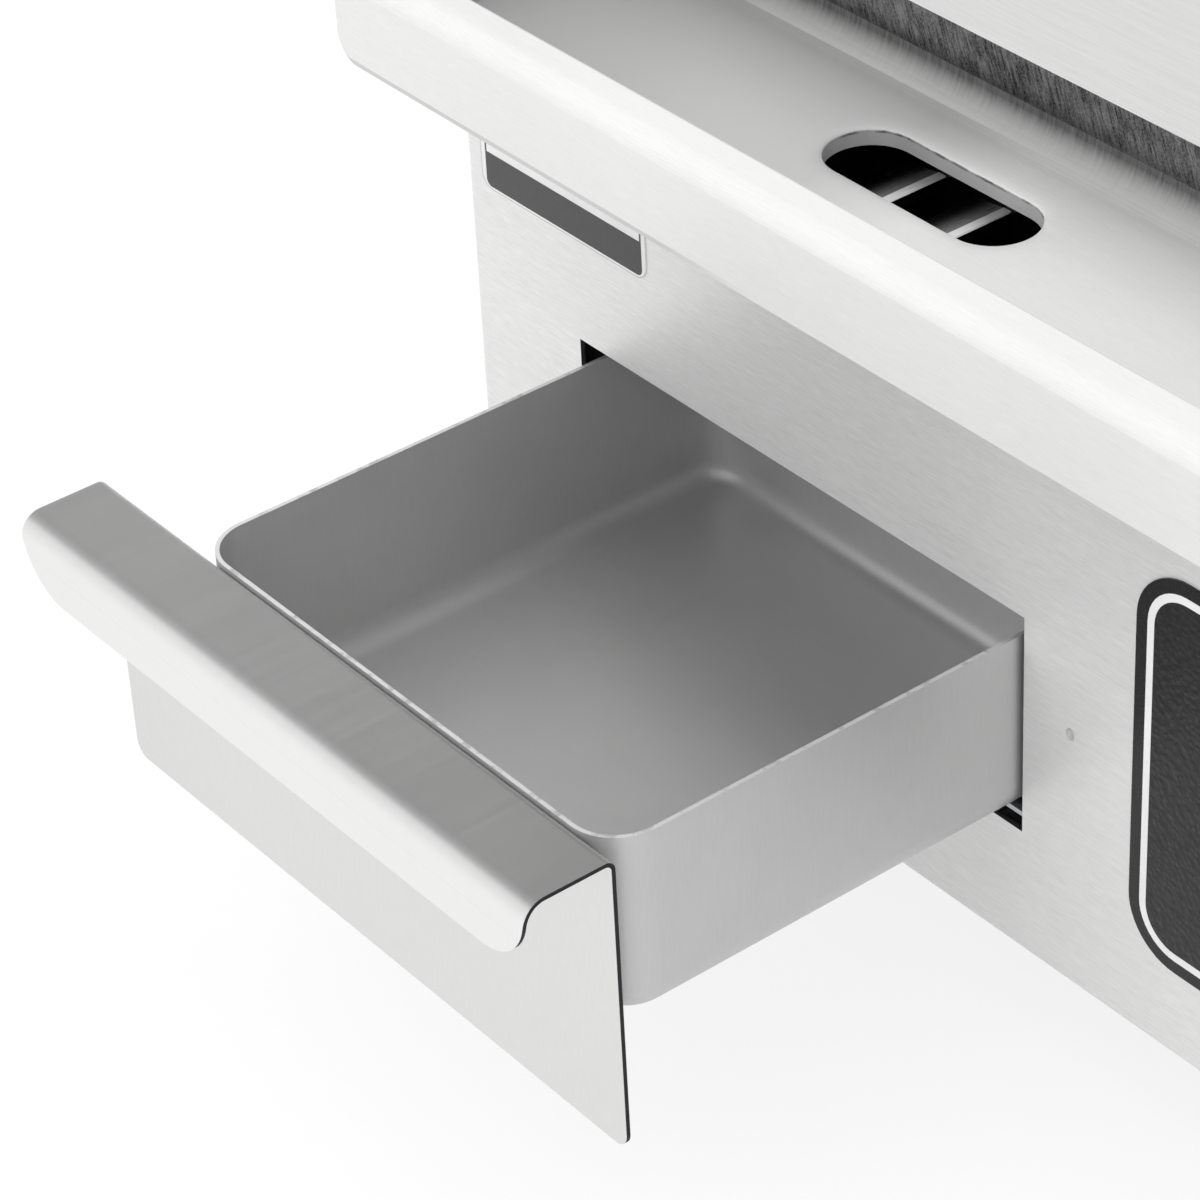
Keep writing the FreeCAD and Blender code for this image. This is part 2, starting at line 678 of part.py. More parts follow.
def drawer_front():
    """The front sheet, rolled over at the top into a handle with rounded lower corners."""
    back = PAN_Y0
    nose = back - DRAWER_SHEET - HANDLE_REACH
    nose_z = PAN_TOP - HANDLE_DROP
    plate_z = PAN_TOP - FRONT_H
    above = PAN_TOP + 5
    x1 = OPEN_X1 + FRONT_PAST_OPEN
    x0 = x1 - FRONT_W
    path = [(back, plate_z), (back, PAN_TOP), (nose, PAN_TOP), (nose, nose_z)]
    bends = [0, FRONT_TOP_BEND, HANDLE_BEND, 0]
    sheet = bent_sheet(path, bends, -DRAWER_SHEET, at_x(x0), vec(FRONT_W, 0, 0))
    nose_keep = prism([(x0, nose_z), (x1, nose_z), (x1, above), (x0, above)],
                      [HANDLE_CORNER, HANDLE_CORNER, 0, 0], at_y(nose - 1), vec(0, HANDLE_REACH, 0))
    plate_keep = prism([(x0, plate_z), (x1, plate_z), (x1, above), (x0, above)],
                       [FRONT_CORNER, FRONT_CORNER, 0, 0], at_y(nose - 1 + HANDLE_REACH), vec(0, 10, 0))
    return sheet.common(nose_keep.fuse(plate_keep)).removeSplitter()


# Drawer guides behind the panel

def guide_rail(side):
    edge = OPEN_X1 if side > 0 else OPEN_X0
    y0 = FACE_Y + SHEET
    y1 = y0 + RAIL_L
    ledge_top = PAN_BOTTOM - RAIL_RUN_GAP
    path = [(edge - side * RAIL_LEDGE, ledge_top), (edge, ledge_top), (edge, OPEN_Z1 - 8.0)]
    sheet = bent_sheet(path, [0, 0.4, 0], side * SHEET, at_y(y0), vec(0, RAIL_L, 0))
    x0, x1 = sorted((edge + side * EPS, edge + side * RAIL_FLANGE_W))
    flange = block(x0, x1, y0, y0 + SHEET, ledge_top + 4, OPEN_Z1 - 8.0)
    return together([sheet, flange])


def rail_bracket():
    """A stand under the rear ends of both rails, on the base plate."""
    top = PAN_BOTTOM - RAIL_RUN_GAP - 2 * SHEET
    y = FACE_Y + SHEET + RAIL_L - 10.0
    path = [(y + 16.0, FLOOR_TOP), (y, FLOOR_TOP), (y, top), (y - 16.0, top)]
    return bent_sheet(path, [0, 0, 0, 0], SHEET, at_x(OPEN_X0 - SHEET), vec(OPEN_W + 2 * SHEET, 0, 0))


def chute_solid(inset):
    """The chute's outside, or its inside when inset by the sheet; the back wall slopes forward."""
    outlet_z = OPEN_Z1 + 2.0
    slope = (CHUTE_MOUTH_D - CHUTE_OUTLET_D) / (PANEL_TOP - outlet_z)
    run_on = 4.0 * inset
    front = FACE_Y + CHUTE_FRONT + inset
    back_low = FACE_Y + CHUTE_FRONT + CHUTE_OUTLET_D - inset - run_on * slope
    back_high = FACE_Y + CHUTE_FRONT + CHUTE_MOUTH_D - inset + run_on * slope
    low = outlet_z - run_on
    high = PANEL_TOP + run_on
    side = [(front, low), (back_low, low), (back_high, high), (front, high)]
    half = CHUTE_W / 2.0 - inset
    solid = prism(side, [0, 0, 0, 0], at_x(DRAIN_X - half), vec(2.0 * half, 0, 0))
    corners = [edge for edge in solid.Edges if edge.BoundBox.ZLength > OPEN_H / 2.0]
    return solid.makeFillet(CHUTE_BEND - inset, corners)


def drain_chute():
    """A sheet funnel under the drain, with its flange against the trough floor."""
    half = CHUTE_W / 2.0 + CHUTE_FLANGE
    y0 = FACE_Y + CHUTE_FRONT
    flange = rounded_block(DRAIN_X - half, DRAIN_X + half, y0 - 0.4, y0 + CHUTE_MOUTH_D + 2.0,
                           PANEL_TOP - CHUTE_SHEET, PANEL_TOP, 3.0)
    return together([chute_solid(0.0), flange]).cut(chute_solid(CHUTE_SHEET))


# Controls

def control_overlay():
    sheet = rounded_plate(OVERLAY_X0, OVERLAY_X0 + OVERLAY_W, OVERLAY_Z1 - OVERLAY_H, OVERLAY_Z1,
                          OVERLAY_FACE, FACE_Y, OVERLAY_CORNER)
    for cutter in control_holes(OVERLAY_FACE - PAST, FACE_Y + PAST, SHAFT_HOLE_R, LAMP_R + 0.3):
        sheet = sheet.cut(cutter)
    return sheet


def blank_label():
    """A plain rounded sticker under the lip, with nothing on it."""
    x0 = LABEL_FROM_LEFT - HALF_W
    z0 = OPEN_Z1 + LABEL_ABOVE_OPEN
    return rounded_plate(x0, x0 + LABEL_W, z0, z0 + LABEL_H, FACE_Y - LABEL_T, FACE_Y, LABEL_CORNER)


def knob_body():
    """A turned knob on a skirt, hollowed on both sides so that a straight grip is left."""
    profile = [(0.0, KNOB_BACK), (KNOB_SKIRT_R, KNOB_BACK), (KNOB_SKIRT_R, KNOB_BACK - 2.5),
               (KNOB_SKIRT_R - 1.0, KNOB_BACK - 3.3), (KNOB_R, KNOB_BACK - 6.0),
               (KNOB_R - 1.8, KNOB_FRONT + 1.5), (KNOB_R - 3.3, KNOB_FRONT), (0.0, KNOB_FRONT)]
    body = turned(profile, lambda u, v: vec(KNOB_X + u, v, KNOB_Z), vec(KNOB_X, 0, KNOB_Z), vec(0, 1, 0))
    reach = KNOB_SKIRT_R + PAST
    for side in (-1.0, 1.0):
        x0, x1 = sorted((KNOB_X + side * KNOB_WAIST, KNOB_X + side * 1.5 * reach))
        body = body.cut(rounded_plate(x0, x1, KNOB_Z - 1.5 * reach, KNOB_Z + 1.5 * reach,
                                      KNOB_FRONT - PAST, KNOB_FRONT + KNOB_CUT, 5.0))
    bore = rod(SHAFT_R + 0.02, vec(KNOB_X, KNOB_BACK + PAST, KNOB_Z),
               vec(KNOB_X, KNOB_BACK - KNOB_BORE, KNOB_Z))
    return body.cut(bore)


def knob_pointer():
    low = KNOB_Z + 6.0
    high = KNOB_Z + KNOB_R - 5.0
    return block(KNOB_X - 0.9, KNOB_X + 0.9, KNOB_FRONT - 0.3, KNOB_FRONT, low, high)


def thermostat_shaft():
    return rod(SHAFT_R, vec(KNOB_X, KNOB_BACK - KNOB_BORE, KNOB_Z), vec(KNOB_X, PANEL_BACK + 16.0, KNOB_Z))


def thermostat_body():
    """Bracket against the panel, posts, case and two tabs; the shaft turns in its collar."""
    bracket_back = PANEL_BACK + 1.5
    case_front = PANEL_BACK + 8.0
    case_back = PANEL_BACK + 36.0
    pieces = [block(KNOB_X - 20, KNOB_X + 20, PANEL_BACK, bracket_back, KNOB_Z - 8, KNOB_Z + 8),
              block(KNOB_X - 17, KNOB_X + 17, case_front, case_back, KNOB_Z - 21, KNOB_Z + 21),
              rod(5.0, vec(KNOB_X, bracket_back, KNOB_Z), vec(KNOB_X, case_front, KNOB_Z))]
    for x in (KNOB_X - 9.0, KNOB_X + 9.0):
        pieces.append(rod(3.0, vec(x, bracket_back, KNOB_Z), vec(x, case_front, KNOB_Z)))
        pieces.append(block(x - 3.1, x + 3.1, case_back, case_back + 8, KNOB_Z + 8, KNOB_Z + 8.8))
    body = together(pieces)
    body = body.cut(rod(SHAFT_R + SHAFT_FIT, vec(KNOB_X, PANEL_BACK - PAST, KNOB_Z),
                        vec(KNOB_X, PANEL_BACK + 16.4, KNOB_Z)))
    for x, z in thermostat_screw_places():
        body = body.cut(rod(1.6, vec(x, PANEL_BACK - PAST, z), vec(x, PANEL_BACK + 7, z)))
    return body


def thermostat_bulb():
    """Liquid bulb under the plate with its capillary back to the thermostat."""
    x = BULB_X
    z = LEDGE_TOP - 3.1
    y0 = FACE_Y + 110.0
    bulb = rod(3.0, vec(x, y0, z), vec(x, y0 + 90.0, z))
    turn_y = FACE_Y + 77.5
    low = KNOB_Z - 12.0
    entry = KNOB_X - 6.0
    points = [vec(x, y0 + 1, z), vec(x, turn_y, z), vec(x, turn_y, low), vec(entry, turn_y, low),
              vec(entry, PANEL_BACK + 36.0, low)]
    return together([bulb, tube_along(points, [0, 8, 8, 8, 0], 0.9)])


def bulb_clip():
    x = BULB_X
    y = FACE_Y + 150.0
    low = LEDGE_TOP - 6.3
    path = [(x - 14, LEDGE_TOP), (x - 5, LEDGE_TOP), (x - 5, low), (x + 5, low), (x + 5, LEDGE_TOP),
            (x + 14, LEDGE_TOP)]
    return bent_sheet(path, [0, 1, 2.0, 2.0, 1, 0], 0.8, at_y(y), vec(0, 12.0, 0))


def lamp(index):
    z = OVERLAY_Z1 - LAMP_DROPS[index]
    y0 = OVERLAY_FACE
    barrel_end = y0 + 24.0
    pieces = [ring(LAMP_BEZEL_R, LAMP_R - 0.4, vec(LAMP_X, y0 - 1.6, z), vec(LAMP_X, y0, z)),
              rod(LAMP_R, vec(LAMP_X, y0, z), vec(LAMP_X, barrel_end, z))]
    for x in (LAMP_X - 2.0, LAMP_X + 2.0):
        pieces.append(block(x - 0.4, x + 0.4, barrel_end, barrel_end + 8, z - 2.4, z + 2.4))
    return together(pieces)


def lamp_lens(index):
    z = OVERLAY_Z1 - LAMP_DROPS[index]
    y0 = OVERLAY_FACE
    radius = LAMP_R - 0.5
    profile = [(0.0, y0), (radius, y0), (radius, y0 - 1.8), (radius - 0.7, y0 - 2.7), (0.0, y0 - 3.4)]
    return turned(profile, lambda u, v: vec(LAMP_X + u, v, z), vec(LAMP_X, 0, z), vec(0, 1, 0))


# Heating parts under the plate

def element_legs(side):
    centre = side * 2.0 * LEG_GAP + side * 4.0
    return [centre + LEG_GAP * (i - 1.5) for i in range(4)]


def heating_element(side):
    legs = element_legs(side)
    front = FACE_Y + LEG_FRONT
    back = FACE_Y + LEG_BACK
    bend = LEG_GAP / 2.0 - EPS
    drop = TUBE_Z - 42.0
    points = [vec(legs[0], back, drop), vec(legs[0], back, TUBE_Z), vec(legs[0], front, TUBE_Z),
              vec(legs[1], front, TUBE_Z), vec(legs[1], back - 14, TUBE_Z), vec(legs[2], back - 14, TUBE_Z),
              vec(legs[2], front, TUBE_Z), vec(legs[3], front, TUBE_Z), vec(legs[3], back, TUBE_Z),
              vec(legs[3], back, drop)]
    radii = [0, 14, bend, bend, bend, bend, bend, bend, 14, 0]
    return tube_along(points, radii, TUBE_R)


def stud_places():
    places = []
    for y in BAR_PLACES:
        for x in (13.0 - 4.0 * LEG_GAP, 0.0, 4.0 * LEG_GAP - 13.0):
            places.append((x, FACE_Y + y))
    return places


def corner_studs():
    return [place for place in stud_places() if abs(place[0]) > LEG_GAP]


def clamp_bars():
    reach = 4.0 * LEG_GAP - 2.0
    low = BAR_TOP - BAR_T
    bars = []
    for place in BAR_PLACES:
        y = FACE_Y + place
        bars.append(block(-reach, reach, y - BAR_W / 2, y + BAR_W / 2, low, BAR_TOP))
    bars = group(bars)
    for x, y in stud_places():
        bars = bars.cut(rod(STUD_R + 0.3, vec(x, y, low - PAST), vec(x, y, BAR_TOP + PAST)))
    return bars


def plate_studs():
    long_ones = corner_studs()
    studs = []
    for place in stud_places():
        length = STUD_LONG if place in long_ones else STUD_SHORT
        x, y = place
        studs.append(rod(STUD_R, vec(x, y, LEDGE_TOP - length), vec(x, y, LEDGE_TOP)))
    return group(studs)


def nuts_at(places, top, radius, bore, height):
    nuts = []
    for x, y in places:
        body = hexagon(radius, vec(x, y, top - height), vec(x, y, top))
        nuts.append(body.cut(rod(bore + NUT_FIT, vec(x, y, top - height - 1), vec(x, y, top + 1))))
    return group(nuts)


def pass_holes(shape, z0, z1, leg_gap):
    """Square holes for the elements' legs and the corner studs."""
    back = FACE_Y + LEG_BACK
    places = [(x, y, STUD_R + 0.4) for x, y in corner_studs()]
    for side in (-1.0, 1.0):
        legs = element_legs(side)
        places += [(legs[0], back, TUBE_R + leg_gap), (legs[3], back, TUBE_R + leg_gap)]
    for x, y, half in places:
        shape = shape.cut(block(x - half, x + half, y - half, y + half, z0, z1))
    return shape


def insulation_blanket():
    reach = 4.0 * LEG_GAP
    top = SHIELD_Z + BLANKET_T
    pad = rounded_block(-reach, reach, FACE_Y + SHIELD_FRONT + BLANKET_GAP,
                        FACE_Y + SHIELD_BACK - BLANKET_GAP, SHIELD_Z, top, 8)
    return pass_holes(pad, SHIELD_Z - PAST, top + PAST, 1.0)


def heat_shield():
    """A shallow tray with a rim all round, under the blanket."""
    reach = 4.0 * LEG_GAP + BLANKET_GAP
    y0 = FACE_Y + SHIELD_FRONT
    y1 = FACE_Y + SHIELD_BACK
    low = SHIELD_Z - SHIELD_SHEET
    tray = block(-reach, reach, y0, y1, low, SHIELD_Z + SHIELD_RIM)
    hollow = block(SHIELD_SHEET - reach, reach - SHIELD_SHEET, y0 + SHIELD_SHEET, y1 - SHIELD_SHEET,
                   SHIELD_Z, SHIELD_Z + SHIELD_RIM + PAST)
    return pass_holes(tray.cut(hollow), low - PAST, SHIELD_Z + PAST, 1.5)


def high_limit_cutout():
    """Snap disc limiter on the underside of the shield."""
    x, y, z = 40.0, FACE_Y + 200.0, SHIELD_Z - SHIELD_SHEET
    flange = rounded_block(x - 16, x + 16, y - 6, y + 6, z - 0.8, z, 5)
    can = rod(7.5, vec(x, y, z - 12), vec(x, y, z))
    tabs = [block(x + dx - 3, x + dx + 3, y - 0.4, y + 0.4, z - 20, z - 12) for dx in (-3.6, 3.6)]
    return together([flange, can] + tabs)


# Supply side: terminal block, earth stud, cable gland

def terminal_block():
    base_top = FLOOR_TOP + TERMINAL_BASE_T
    top = FLOOR_TOP + TERMINAL_TOP
    half = 2.0 * TERMINAL_PITCH + 2.0
    columns = [TERMINAL_X + TERMINAL_PITCH * (i - 1.5) for i in range(4)]
    pieces = [block(TERMINAL_X - half, TERMINAL_X + half, TERMINAL_Y - 11, TERMINAL_Y + 11,
                    FLOOR_TOP, base_top)]
    for x in columns:
        pieces.append(block(x - 5, x + 5, TERMINAL_Y - 9, TERMINAL_Y + 9, base_top, top))
    body = together(pieces)
    for x in columns:
        body = body.cut(rod(2.6, vec(x, TERMINAL_Y, base_top + 3), vec(x, TERMINAL_Y, top + PAST)))
        wire_way = block(x - 2.2, x + 2.2, TERMINAL_Y - 10, TERMINAL_Y - 4, base_top + 2, base_top + 6)
        body = body.cut(wire_way)
    return body


def earth_place():
    return TERMINAL_X + EARTH_FROM_TERMINAL, TERMINAL_Y


def earth_stud():
    x, y = earth_place()
    return rod(EARTH_R, vec(x, y, FLOOR_TOP), vec(x, y, FLOOR_TOP + 16))


def earth_nut():
    return nuts_at([earth_place()], FLOOR_TOP + 4.0, 4.6, EARTH_R, 4.0)


def cable_gland():
    back = BACK_Y - SHEET
    collar_end = back + GLAND_COLLAR_T
    crown_end = BACK_Y + GLAND_REACH
    collar = hexagon(GLAND_HEX_R, vec(GLAND_X, back, GLAND_Z), vec(GLAND_X, collar_end, GLAND_Z))
    crown = rod(GLAND_CROWN_R, vec(GLAND_X, collar_end, GLAND_Z), vec(GLAND_X, crown_end, GLAND_Z))
    outer_edge = [edge for edge in crown.Edges if edge.BoundBox.YMin > crown_end - EPS]
    crown = crown.makeChamfer(2.0, outer_edge)
    thread = rod(GLAND_THREAD_R, vec(GLAND_X, back - 14, GLAND_Z), vec(GLAND_X, back, GLAND_Z))
    body = together([collar, crown, thread])
    bore = rod(GLAND_BORE_R, vec(GLAND_X, back - 20, GLAND_Z), vec(GLAND_X, crown_end + PAST, GLAND_Z))
    return body.cut(bore)


def gland_nut():
    inner = BACK_Y - 2 * SHEET
    front = inner - 6
    nut = hexagon(GLAND_HEX_R, vec(GLAND_X, front, GLAND_Z), vec(GLAND_X, inner, GLAND_Z))
    bore = rod(GLAND_THREAD_R + NUT_FIT, vec(GLAND_X, front - PAST, GLAND_Z),
               vec(GLAND_X, inner + PAST, GLAND_Z))
    return nut.cut(bore)


# Feet and fasteners

def foot(x, y):
    """A rubber foot on a slightly smaller pad, with a pocket for its screw."""
    profile = [(0.0, 0.0), (FOOT_PAD_R, 0.0), (FOOT_PAD_R, FOOT_PAD_T), (FOOT_R, FOOT_PAD_T),
               (FOOT_R, FOOT_TOP), (0.0, FOOT_TOP)]
    body = turned(profile, lambda u, v: vec(x + u, y, v), vec(x, y, 0), vec(0, 0, 1))
    body = body.cut(rod(FOOT_SCREW_R + 0.1, vec(x, y, -PAST), vec(x, y, FOOT_TOP + PAST)))
    return body.cut(rod(FOOT_POCKET_R, vec(x, y, -PAST), vec(x, y, FOOT_HEAD_Z)))


def foot_screws():
    """Hexagon heads on a washer flange, up through the feet and the base plate."""
    screws = []
    for x, y in foot_places():
        flange_low = FOOT_HEAD_Z - 1.0
        head = hexagon(4.6, vec(x, y, flange_low - 3.5), vec(x, y, flange_low))
        flange = rod(FOOT_POCKET_R - 0.4, vec(x, y, flange_low), vec(x, y, FOOT_HEAD_Z))
        shank = rod(FOOT_SCREW_R, vec(x, y, FOOT_HEAD_Z), vec(x, y, FLOOR_TOP + 8))
        screws.append(together([head, flange, shank]))
    return group(screws)


def foot_nuts():
    return nuts_at(foot_places(), FLOOR_TOP + 4.0, 4.6, FOOT_SCREW_R, 4.0)


def sheet_screw(seat, inward, length):
    """A hexagon-headed sheet metal screw, its head outside the seat and its shank inward."""
    head = hexagon(SCREW_HEAD_R, seat - inward * SCREW_HEAD_T, seat)
    return together([head, rod(SCREW_R, seat, seat + inward * length)])


def base_screws():
    length = FLOOR_TOP + 4 - FOOT_H
    return group([sheet_screw(vec(x, y, FOOT_H), vec(0, 0, 1), length) for x, y in base_screw_places()])


def shell_screws():
    screws = []
    for side in (-1.0, 1.0):
        for y, z in shell_screw_places():
            screws.append(sheet_screw(vec(side * HALF_W, y, z), vec(-side, 0, 0), 8.0))
    return group(screws)


def thermostat_screws():
    """Countersunk into the panel under the overlay."""
    screws = []
    for x, z in thermostat_screw_places():
        head = rod(2.0, vec(x, FACE_Y + 0.05, z), vec(x, PANEL_BACK, z))
        shank = rod(1.5, vec(x, PANEL_BACK - 0.5, z), vec(x, PANEL_BACK + 5.5, z))
        screws.append(together([head, shank]))
    return group(screws)


def bored_for_screws(shape):
    """Clearance in the guard and panel for the screws that go through both."""
    for side in (-1.0, 1.0):
        for y, z in shell_screw_places():
            inside = vec(side * (HALF_W - SHEET - PAST), y, z)
            shape = shape.cut(rod(SCREW_HOLE_R, inside, vec(side * (HALF_W + PAST), y, z)))
    return shape


def with_base_holes(shape):
    for x, y in base_screw_places():
        hole = rod(SCREW_HOLE_R, vec(x, y, FOOT_H - PAST), vec(x, y, FOOT_H + SHEET + 0.5))
        shape = shape.cut(hole)
    return shape


def write(name, shape):
    solids = shape.Solids
    volume = sum(solid.Volume for solid in solids)
    flag = "" if shape.isValid() and volume > 0 else "  INVALID"
    print("%-22s %2d solids %10.1f mm3%s" % (name, len(solids), volume, flag))
    shape.exportStep("parts/%s.step" % name)


def main():
    os.makedirs("parts", exist_ok=True)
    parts = {
        "top_tray": top_tray(),
        "splash_guard": bored_for_screws(splash_guard()),
        "griddle_plate": griddle_plate(),
        "front_panel": with_base_holes(bored_for_screws(front_panel())),
        "body_shell": with_base_holes(body_shell()),
        "base_plate": base_plate(),
        "drain_chute": drain_chute(),
        "guide_rail_left": guide_rail(-1.0),
        "guide_rail_right": guide_rail(1.0),
        "rail_bracket": rail_bracket(),
        "drawer_pan": drawer_pan(),
        "drawer_front": drawer_front(),
        "control_overlay": control_overlay(),
        "blank_label": blank_label(),
        "knob_body": knob_body(),
        "knob_pointer": knob_pointer(),
        "thermostat_shaft": thermostat_shaft(),
        "thermostat_body": thermostat_body(),
        "thermostat_bulb": thermostat_bulb(),
        "bulb_clip": bulb_clip(),
        "lamp_power": lamp(0),
        "lamp_heat": lamp(1),
        "lens_power": lamp_lens(0),
        "lens_heat": lamp_lens(1),
        "heating_element_left": heating_element(-1.0),
        "heating_element_right": heating_element(1.0),
        "clamp_bars": clamp_bars(),
        "plate_studs": plate_studs(),
        "clamp_nuts": nuts_at(stud_places(), BAR_TOP - BAR_T, 5.6, STUD_R, 5.0),
        "shield_nuts": nuts_at(corner_studs(), SHIELD_Z - SHIELD_SHEET, 5.6, STUD_R, 5.0),
        "insulation_blanket": insulation_blanket(),
        "heat_shield": heat_shield(),
        "high_limit_cutout": high_limit_cutout(),
        "terminal_block": terminal_block(),
        "earth_stud": earth_stud(),
        "earth_nut": earth_nut(),
        "cable_gland": cable_gland(),
        "gland_nut": gland_nut(),
        "foot_screws": foot_screws(),
        "foot_nuts": foot_nuts(),
        "base_screws": base_screws(),
        "shell_screws": shell_screws(),
        "thermostat_screws": thermostat_screws(),
    }
    names = ("foot_front_left", "foot_back_left", "foot_front_right", "foot_back_right")
    for name, place in zip(names, foot_places()):
        parts[name] = foot(*place)
    for name, shape in parts.items():
        write(name, shape)


main()
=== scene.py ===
import math

import bmesh
import bpy
from mathutils import Matrix, Vector, noise


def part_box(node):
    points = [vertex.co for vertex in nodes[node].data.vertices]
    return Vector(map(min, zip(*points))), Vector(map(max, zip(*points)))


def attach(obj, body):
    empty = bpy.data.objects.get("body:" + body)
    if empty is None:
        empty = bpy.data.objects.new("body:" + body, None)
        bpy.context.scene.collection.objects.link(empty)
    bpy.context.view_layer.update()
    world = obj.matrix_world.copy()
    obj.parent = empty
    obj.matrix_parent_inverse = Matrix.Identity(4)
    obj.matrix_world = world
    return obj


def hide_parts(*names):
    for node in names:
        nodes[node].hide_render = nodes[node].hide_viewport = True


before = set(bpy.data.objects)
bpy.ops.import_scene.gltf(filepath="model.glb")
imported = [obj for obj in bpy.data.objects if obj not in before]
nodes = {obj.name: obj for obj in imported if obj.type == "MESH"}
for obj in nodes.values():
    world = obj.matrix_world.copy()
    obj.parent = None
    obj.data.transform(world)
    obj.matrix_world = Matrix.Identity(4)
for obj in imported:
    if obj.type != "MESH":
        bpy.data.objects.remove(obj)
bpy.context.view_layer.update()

MM = 0.001

# Camera: where it stands in metres, how it is turned in degrees, and its lens in millimetres
CAMERA_AT = (0.46037, -0.65389, 0.64978)
CAMERA_TURN = 53.56
CAMERA_DOWN = 34.95
CAMERA_ROLL = -3.247
CAMERA_LENS = 131.506

# Colours, linear
TRAY_STEEL = (0.78, 0.78, 0.775)
PANEL_STEEL = (0.80, 0.80, 0.795)
SHELL_STEEL = (0.70, 0.70, 0.695)
PAN_STEEL = (0.61, 0.61, 0.61)
DRAWER_STEEL = (0.84, 0.84, 0.835)
GALVANISED = (0.46, 0.47, 0.48)
PLATE_STEEL = (0.80, 0.80, 0.795)
TORN_STEEL = (0.105, 0.105, 0.105)
# Painted shade for cut edges
PAINTED_EDGE_SHADE = (0.05, 0.05, 0.052)
# Painted highlight for the pan's rim
PAINTED_RIM_HIGHLIGHT = (0.74, 0.74, 0.74)
ZINC = (0.62, 0.63, 0.64)
FILM_BLACK = (0.009, 0.009, 0.0095)
ENAMEL_BLACK = (0.003, 0.003, 0.003)
RUBBER_BLACK = (0.018, 0.018, 0.018)
PLASTIC_BLACK = (0.012, 0.012, 0.013)
PRINT_WHITE = (0.88, 0.88, 0.875)
PRINT_GREY = (0.062, 0.062, 0.065)
PRINT_FAINT = (0.55, 0.55, 0.55)
BLANKET_WHITE = (0.70, 0.68, 0.62)
CERAMIC = (0.72, 0.69, 0.62)
COPPER = (0.72, 0.36, 0.22)
BRASS = (0.70, 0.52, 0.24)
TUBE_STEEL = (0.16, 0.15, 0.14)
LENS_GREEN = (0.02, 0.42, 0.10)
LENS_AMBER = (0.85, 0.30, 0.02)


# Material graphs

class Graph:
    """A material's node tree, with short calls to add and join nodes."""

    def __init__(self, name):
        self.material = bpy.data.materials.new(name)
        self.material.use_nodes = True
        self.tree = self.material.node_tree
        self.tree.nodes.clear()
        self.out = self.tree.nodes.new("ShaderNodeOutputMaterial")

    def add(self, kind, inputs=None, **settings):
        node = self.tree.nodes.new("ShaderNode" + kind)
        for key, value in settings.items():
            setattr(node, key, value)
        for key, value in (inputs or {}).items():
            self.put(node, key, value)
        return node

    def put(self, node, key, value):
        if isinstance(value, bpy.types.NodeSocket):
            self.tree.links.new(value, node.inputs[key])
        elif isinstance(value, tuple) and len(value) == 3 and node.inputs[key].type == "RGBA":
            node.inputs[key].default_value = (*value, 1.0)
        else:
            node.inputs[key].default_value = value

    def math(self, operation, a, b=0.0, clamp=False):
        return self.add("Math", {0: a, 1: b}, operation=operation, use_clamp=clamp).outputs[0]

    def place(self):
        return self.add("TexCoord").outputs["Object"]

    def position(self, scale):
        """The point on the model in metres, stretched."""
        return self.add("Mapping", {"Vector": self.place(), "Scale": scale}, vector_type="POINT").outputs[0]

    def noise(self, scale, detail=2.0, rough=0.5):
        inputs = {"Vector": self.position(scale), "Scale": 1.0, "Detail": detail, "Roughness": rough}
        return self.add("TexNoise", inputs).outputs["Fac"]

    def range(self, value, low, high, to_low=0.0, to_high=1.0):
        inputs = {"Value": value, "From Min": low, "From Max": high, "To Min": to_low, "To Max": to_high}
        return self.add("MapRange", inputs).outputs[0]

    def spread(self, value, low, high):
        """A noise value, stretched round its middle to low..high."""
        return self.range(value, 0.28, 0.72, low, high)

    def blend(self, parts):
        """Weighted sum of values."""
        total = None
        for value, weight in parts:
            term = self.math("MULTIPLY", value, weight)
            total = term if total is None else self.math("ADD", total, term)
        return total

    def tint(self, value, dark, light):
        return self.add("Mix", {0: value, 6: dark, 7: light}, data_type="RGBA").outputs[2]

    def pick(self, value, low, high):
        return self.add("Mix", {0: value, 2: low, 3: high}, data_type="FLOAT").outputs[0]

    def facing(self, axis, kind="True Normal"):
        """How far the surface faces along an axis, either way."""
        normal = self.add("NewGeometry").outputs[kind]
        return self.math("ABSOLUTE", self.add("SeparateXYZ", {0: normal}).outputs[axis])

    def coordinate(self, axis):
        return self.add("SeparateXYZ", {0: self.place()}).outputs[axis]

    def between(self, value, low, high):
        """1 where a value lies between two limits."""
        above = self.math("GREATER_THAN", value, low)
        return self.math("MULTIPLY", above, self.math("LESS_THAN", value, high))

    def bump(self, height, distance, normal=None):
        inputs = {"Height": height, "Distance": distance, "Strength": 1.0}
        if normal is not None:
            inputs["Normal"] = normal
        return self.add("Bump", inputs).outputs[0]

    def across(self, way):
        """The direction in the surface that lies square to the grain."""
        normal = self.add("NewGeometry").outputs["Normal"]
        side = self.add("VectorMath", {0: normal, 1: way}, operation="CROSS_PRODUCT").outputs[0]
        return self.add("VectorMath", {0: side}, operation="NORMALIZE").outputs[0]

    def surface(self, **inputs):
        shader = self.add("BsdfPrincipled", {key.replace("_", " "): value for key, value in inputs.items()})
        self.tree.links.new(shader.outputs[0], self.out.inputs["Surface"])
        return self.material


def scaled(colour, factor):
    return tuple(min(channel * factor, 1.0) for channel in colour)


# Places on the tray and the drawer front that their materials and pieces refer to, in metres
TROUGH_FLOOR = 190.3 * MM
RISER_Y = -112.0 * MM
# Heights of a line of painted shade just below the trough's floor, round the back of the drain
RIM_SHADE_BAND = (TROUGH_FLOOR - 1.25 * MM, TROUGH_FLOOR - 0.6 * MM)
DRAIN = ((-141.3 * MM, -117.1 * MM), (59.3 * MM, 21.0 * MM))
NOSE_Y = -267.0 * MM
OPENING_X = (-0.2360, -0.0832)
OPENING_Z = (0.0625, 0.1217)

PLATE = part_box("griddle_plate")

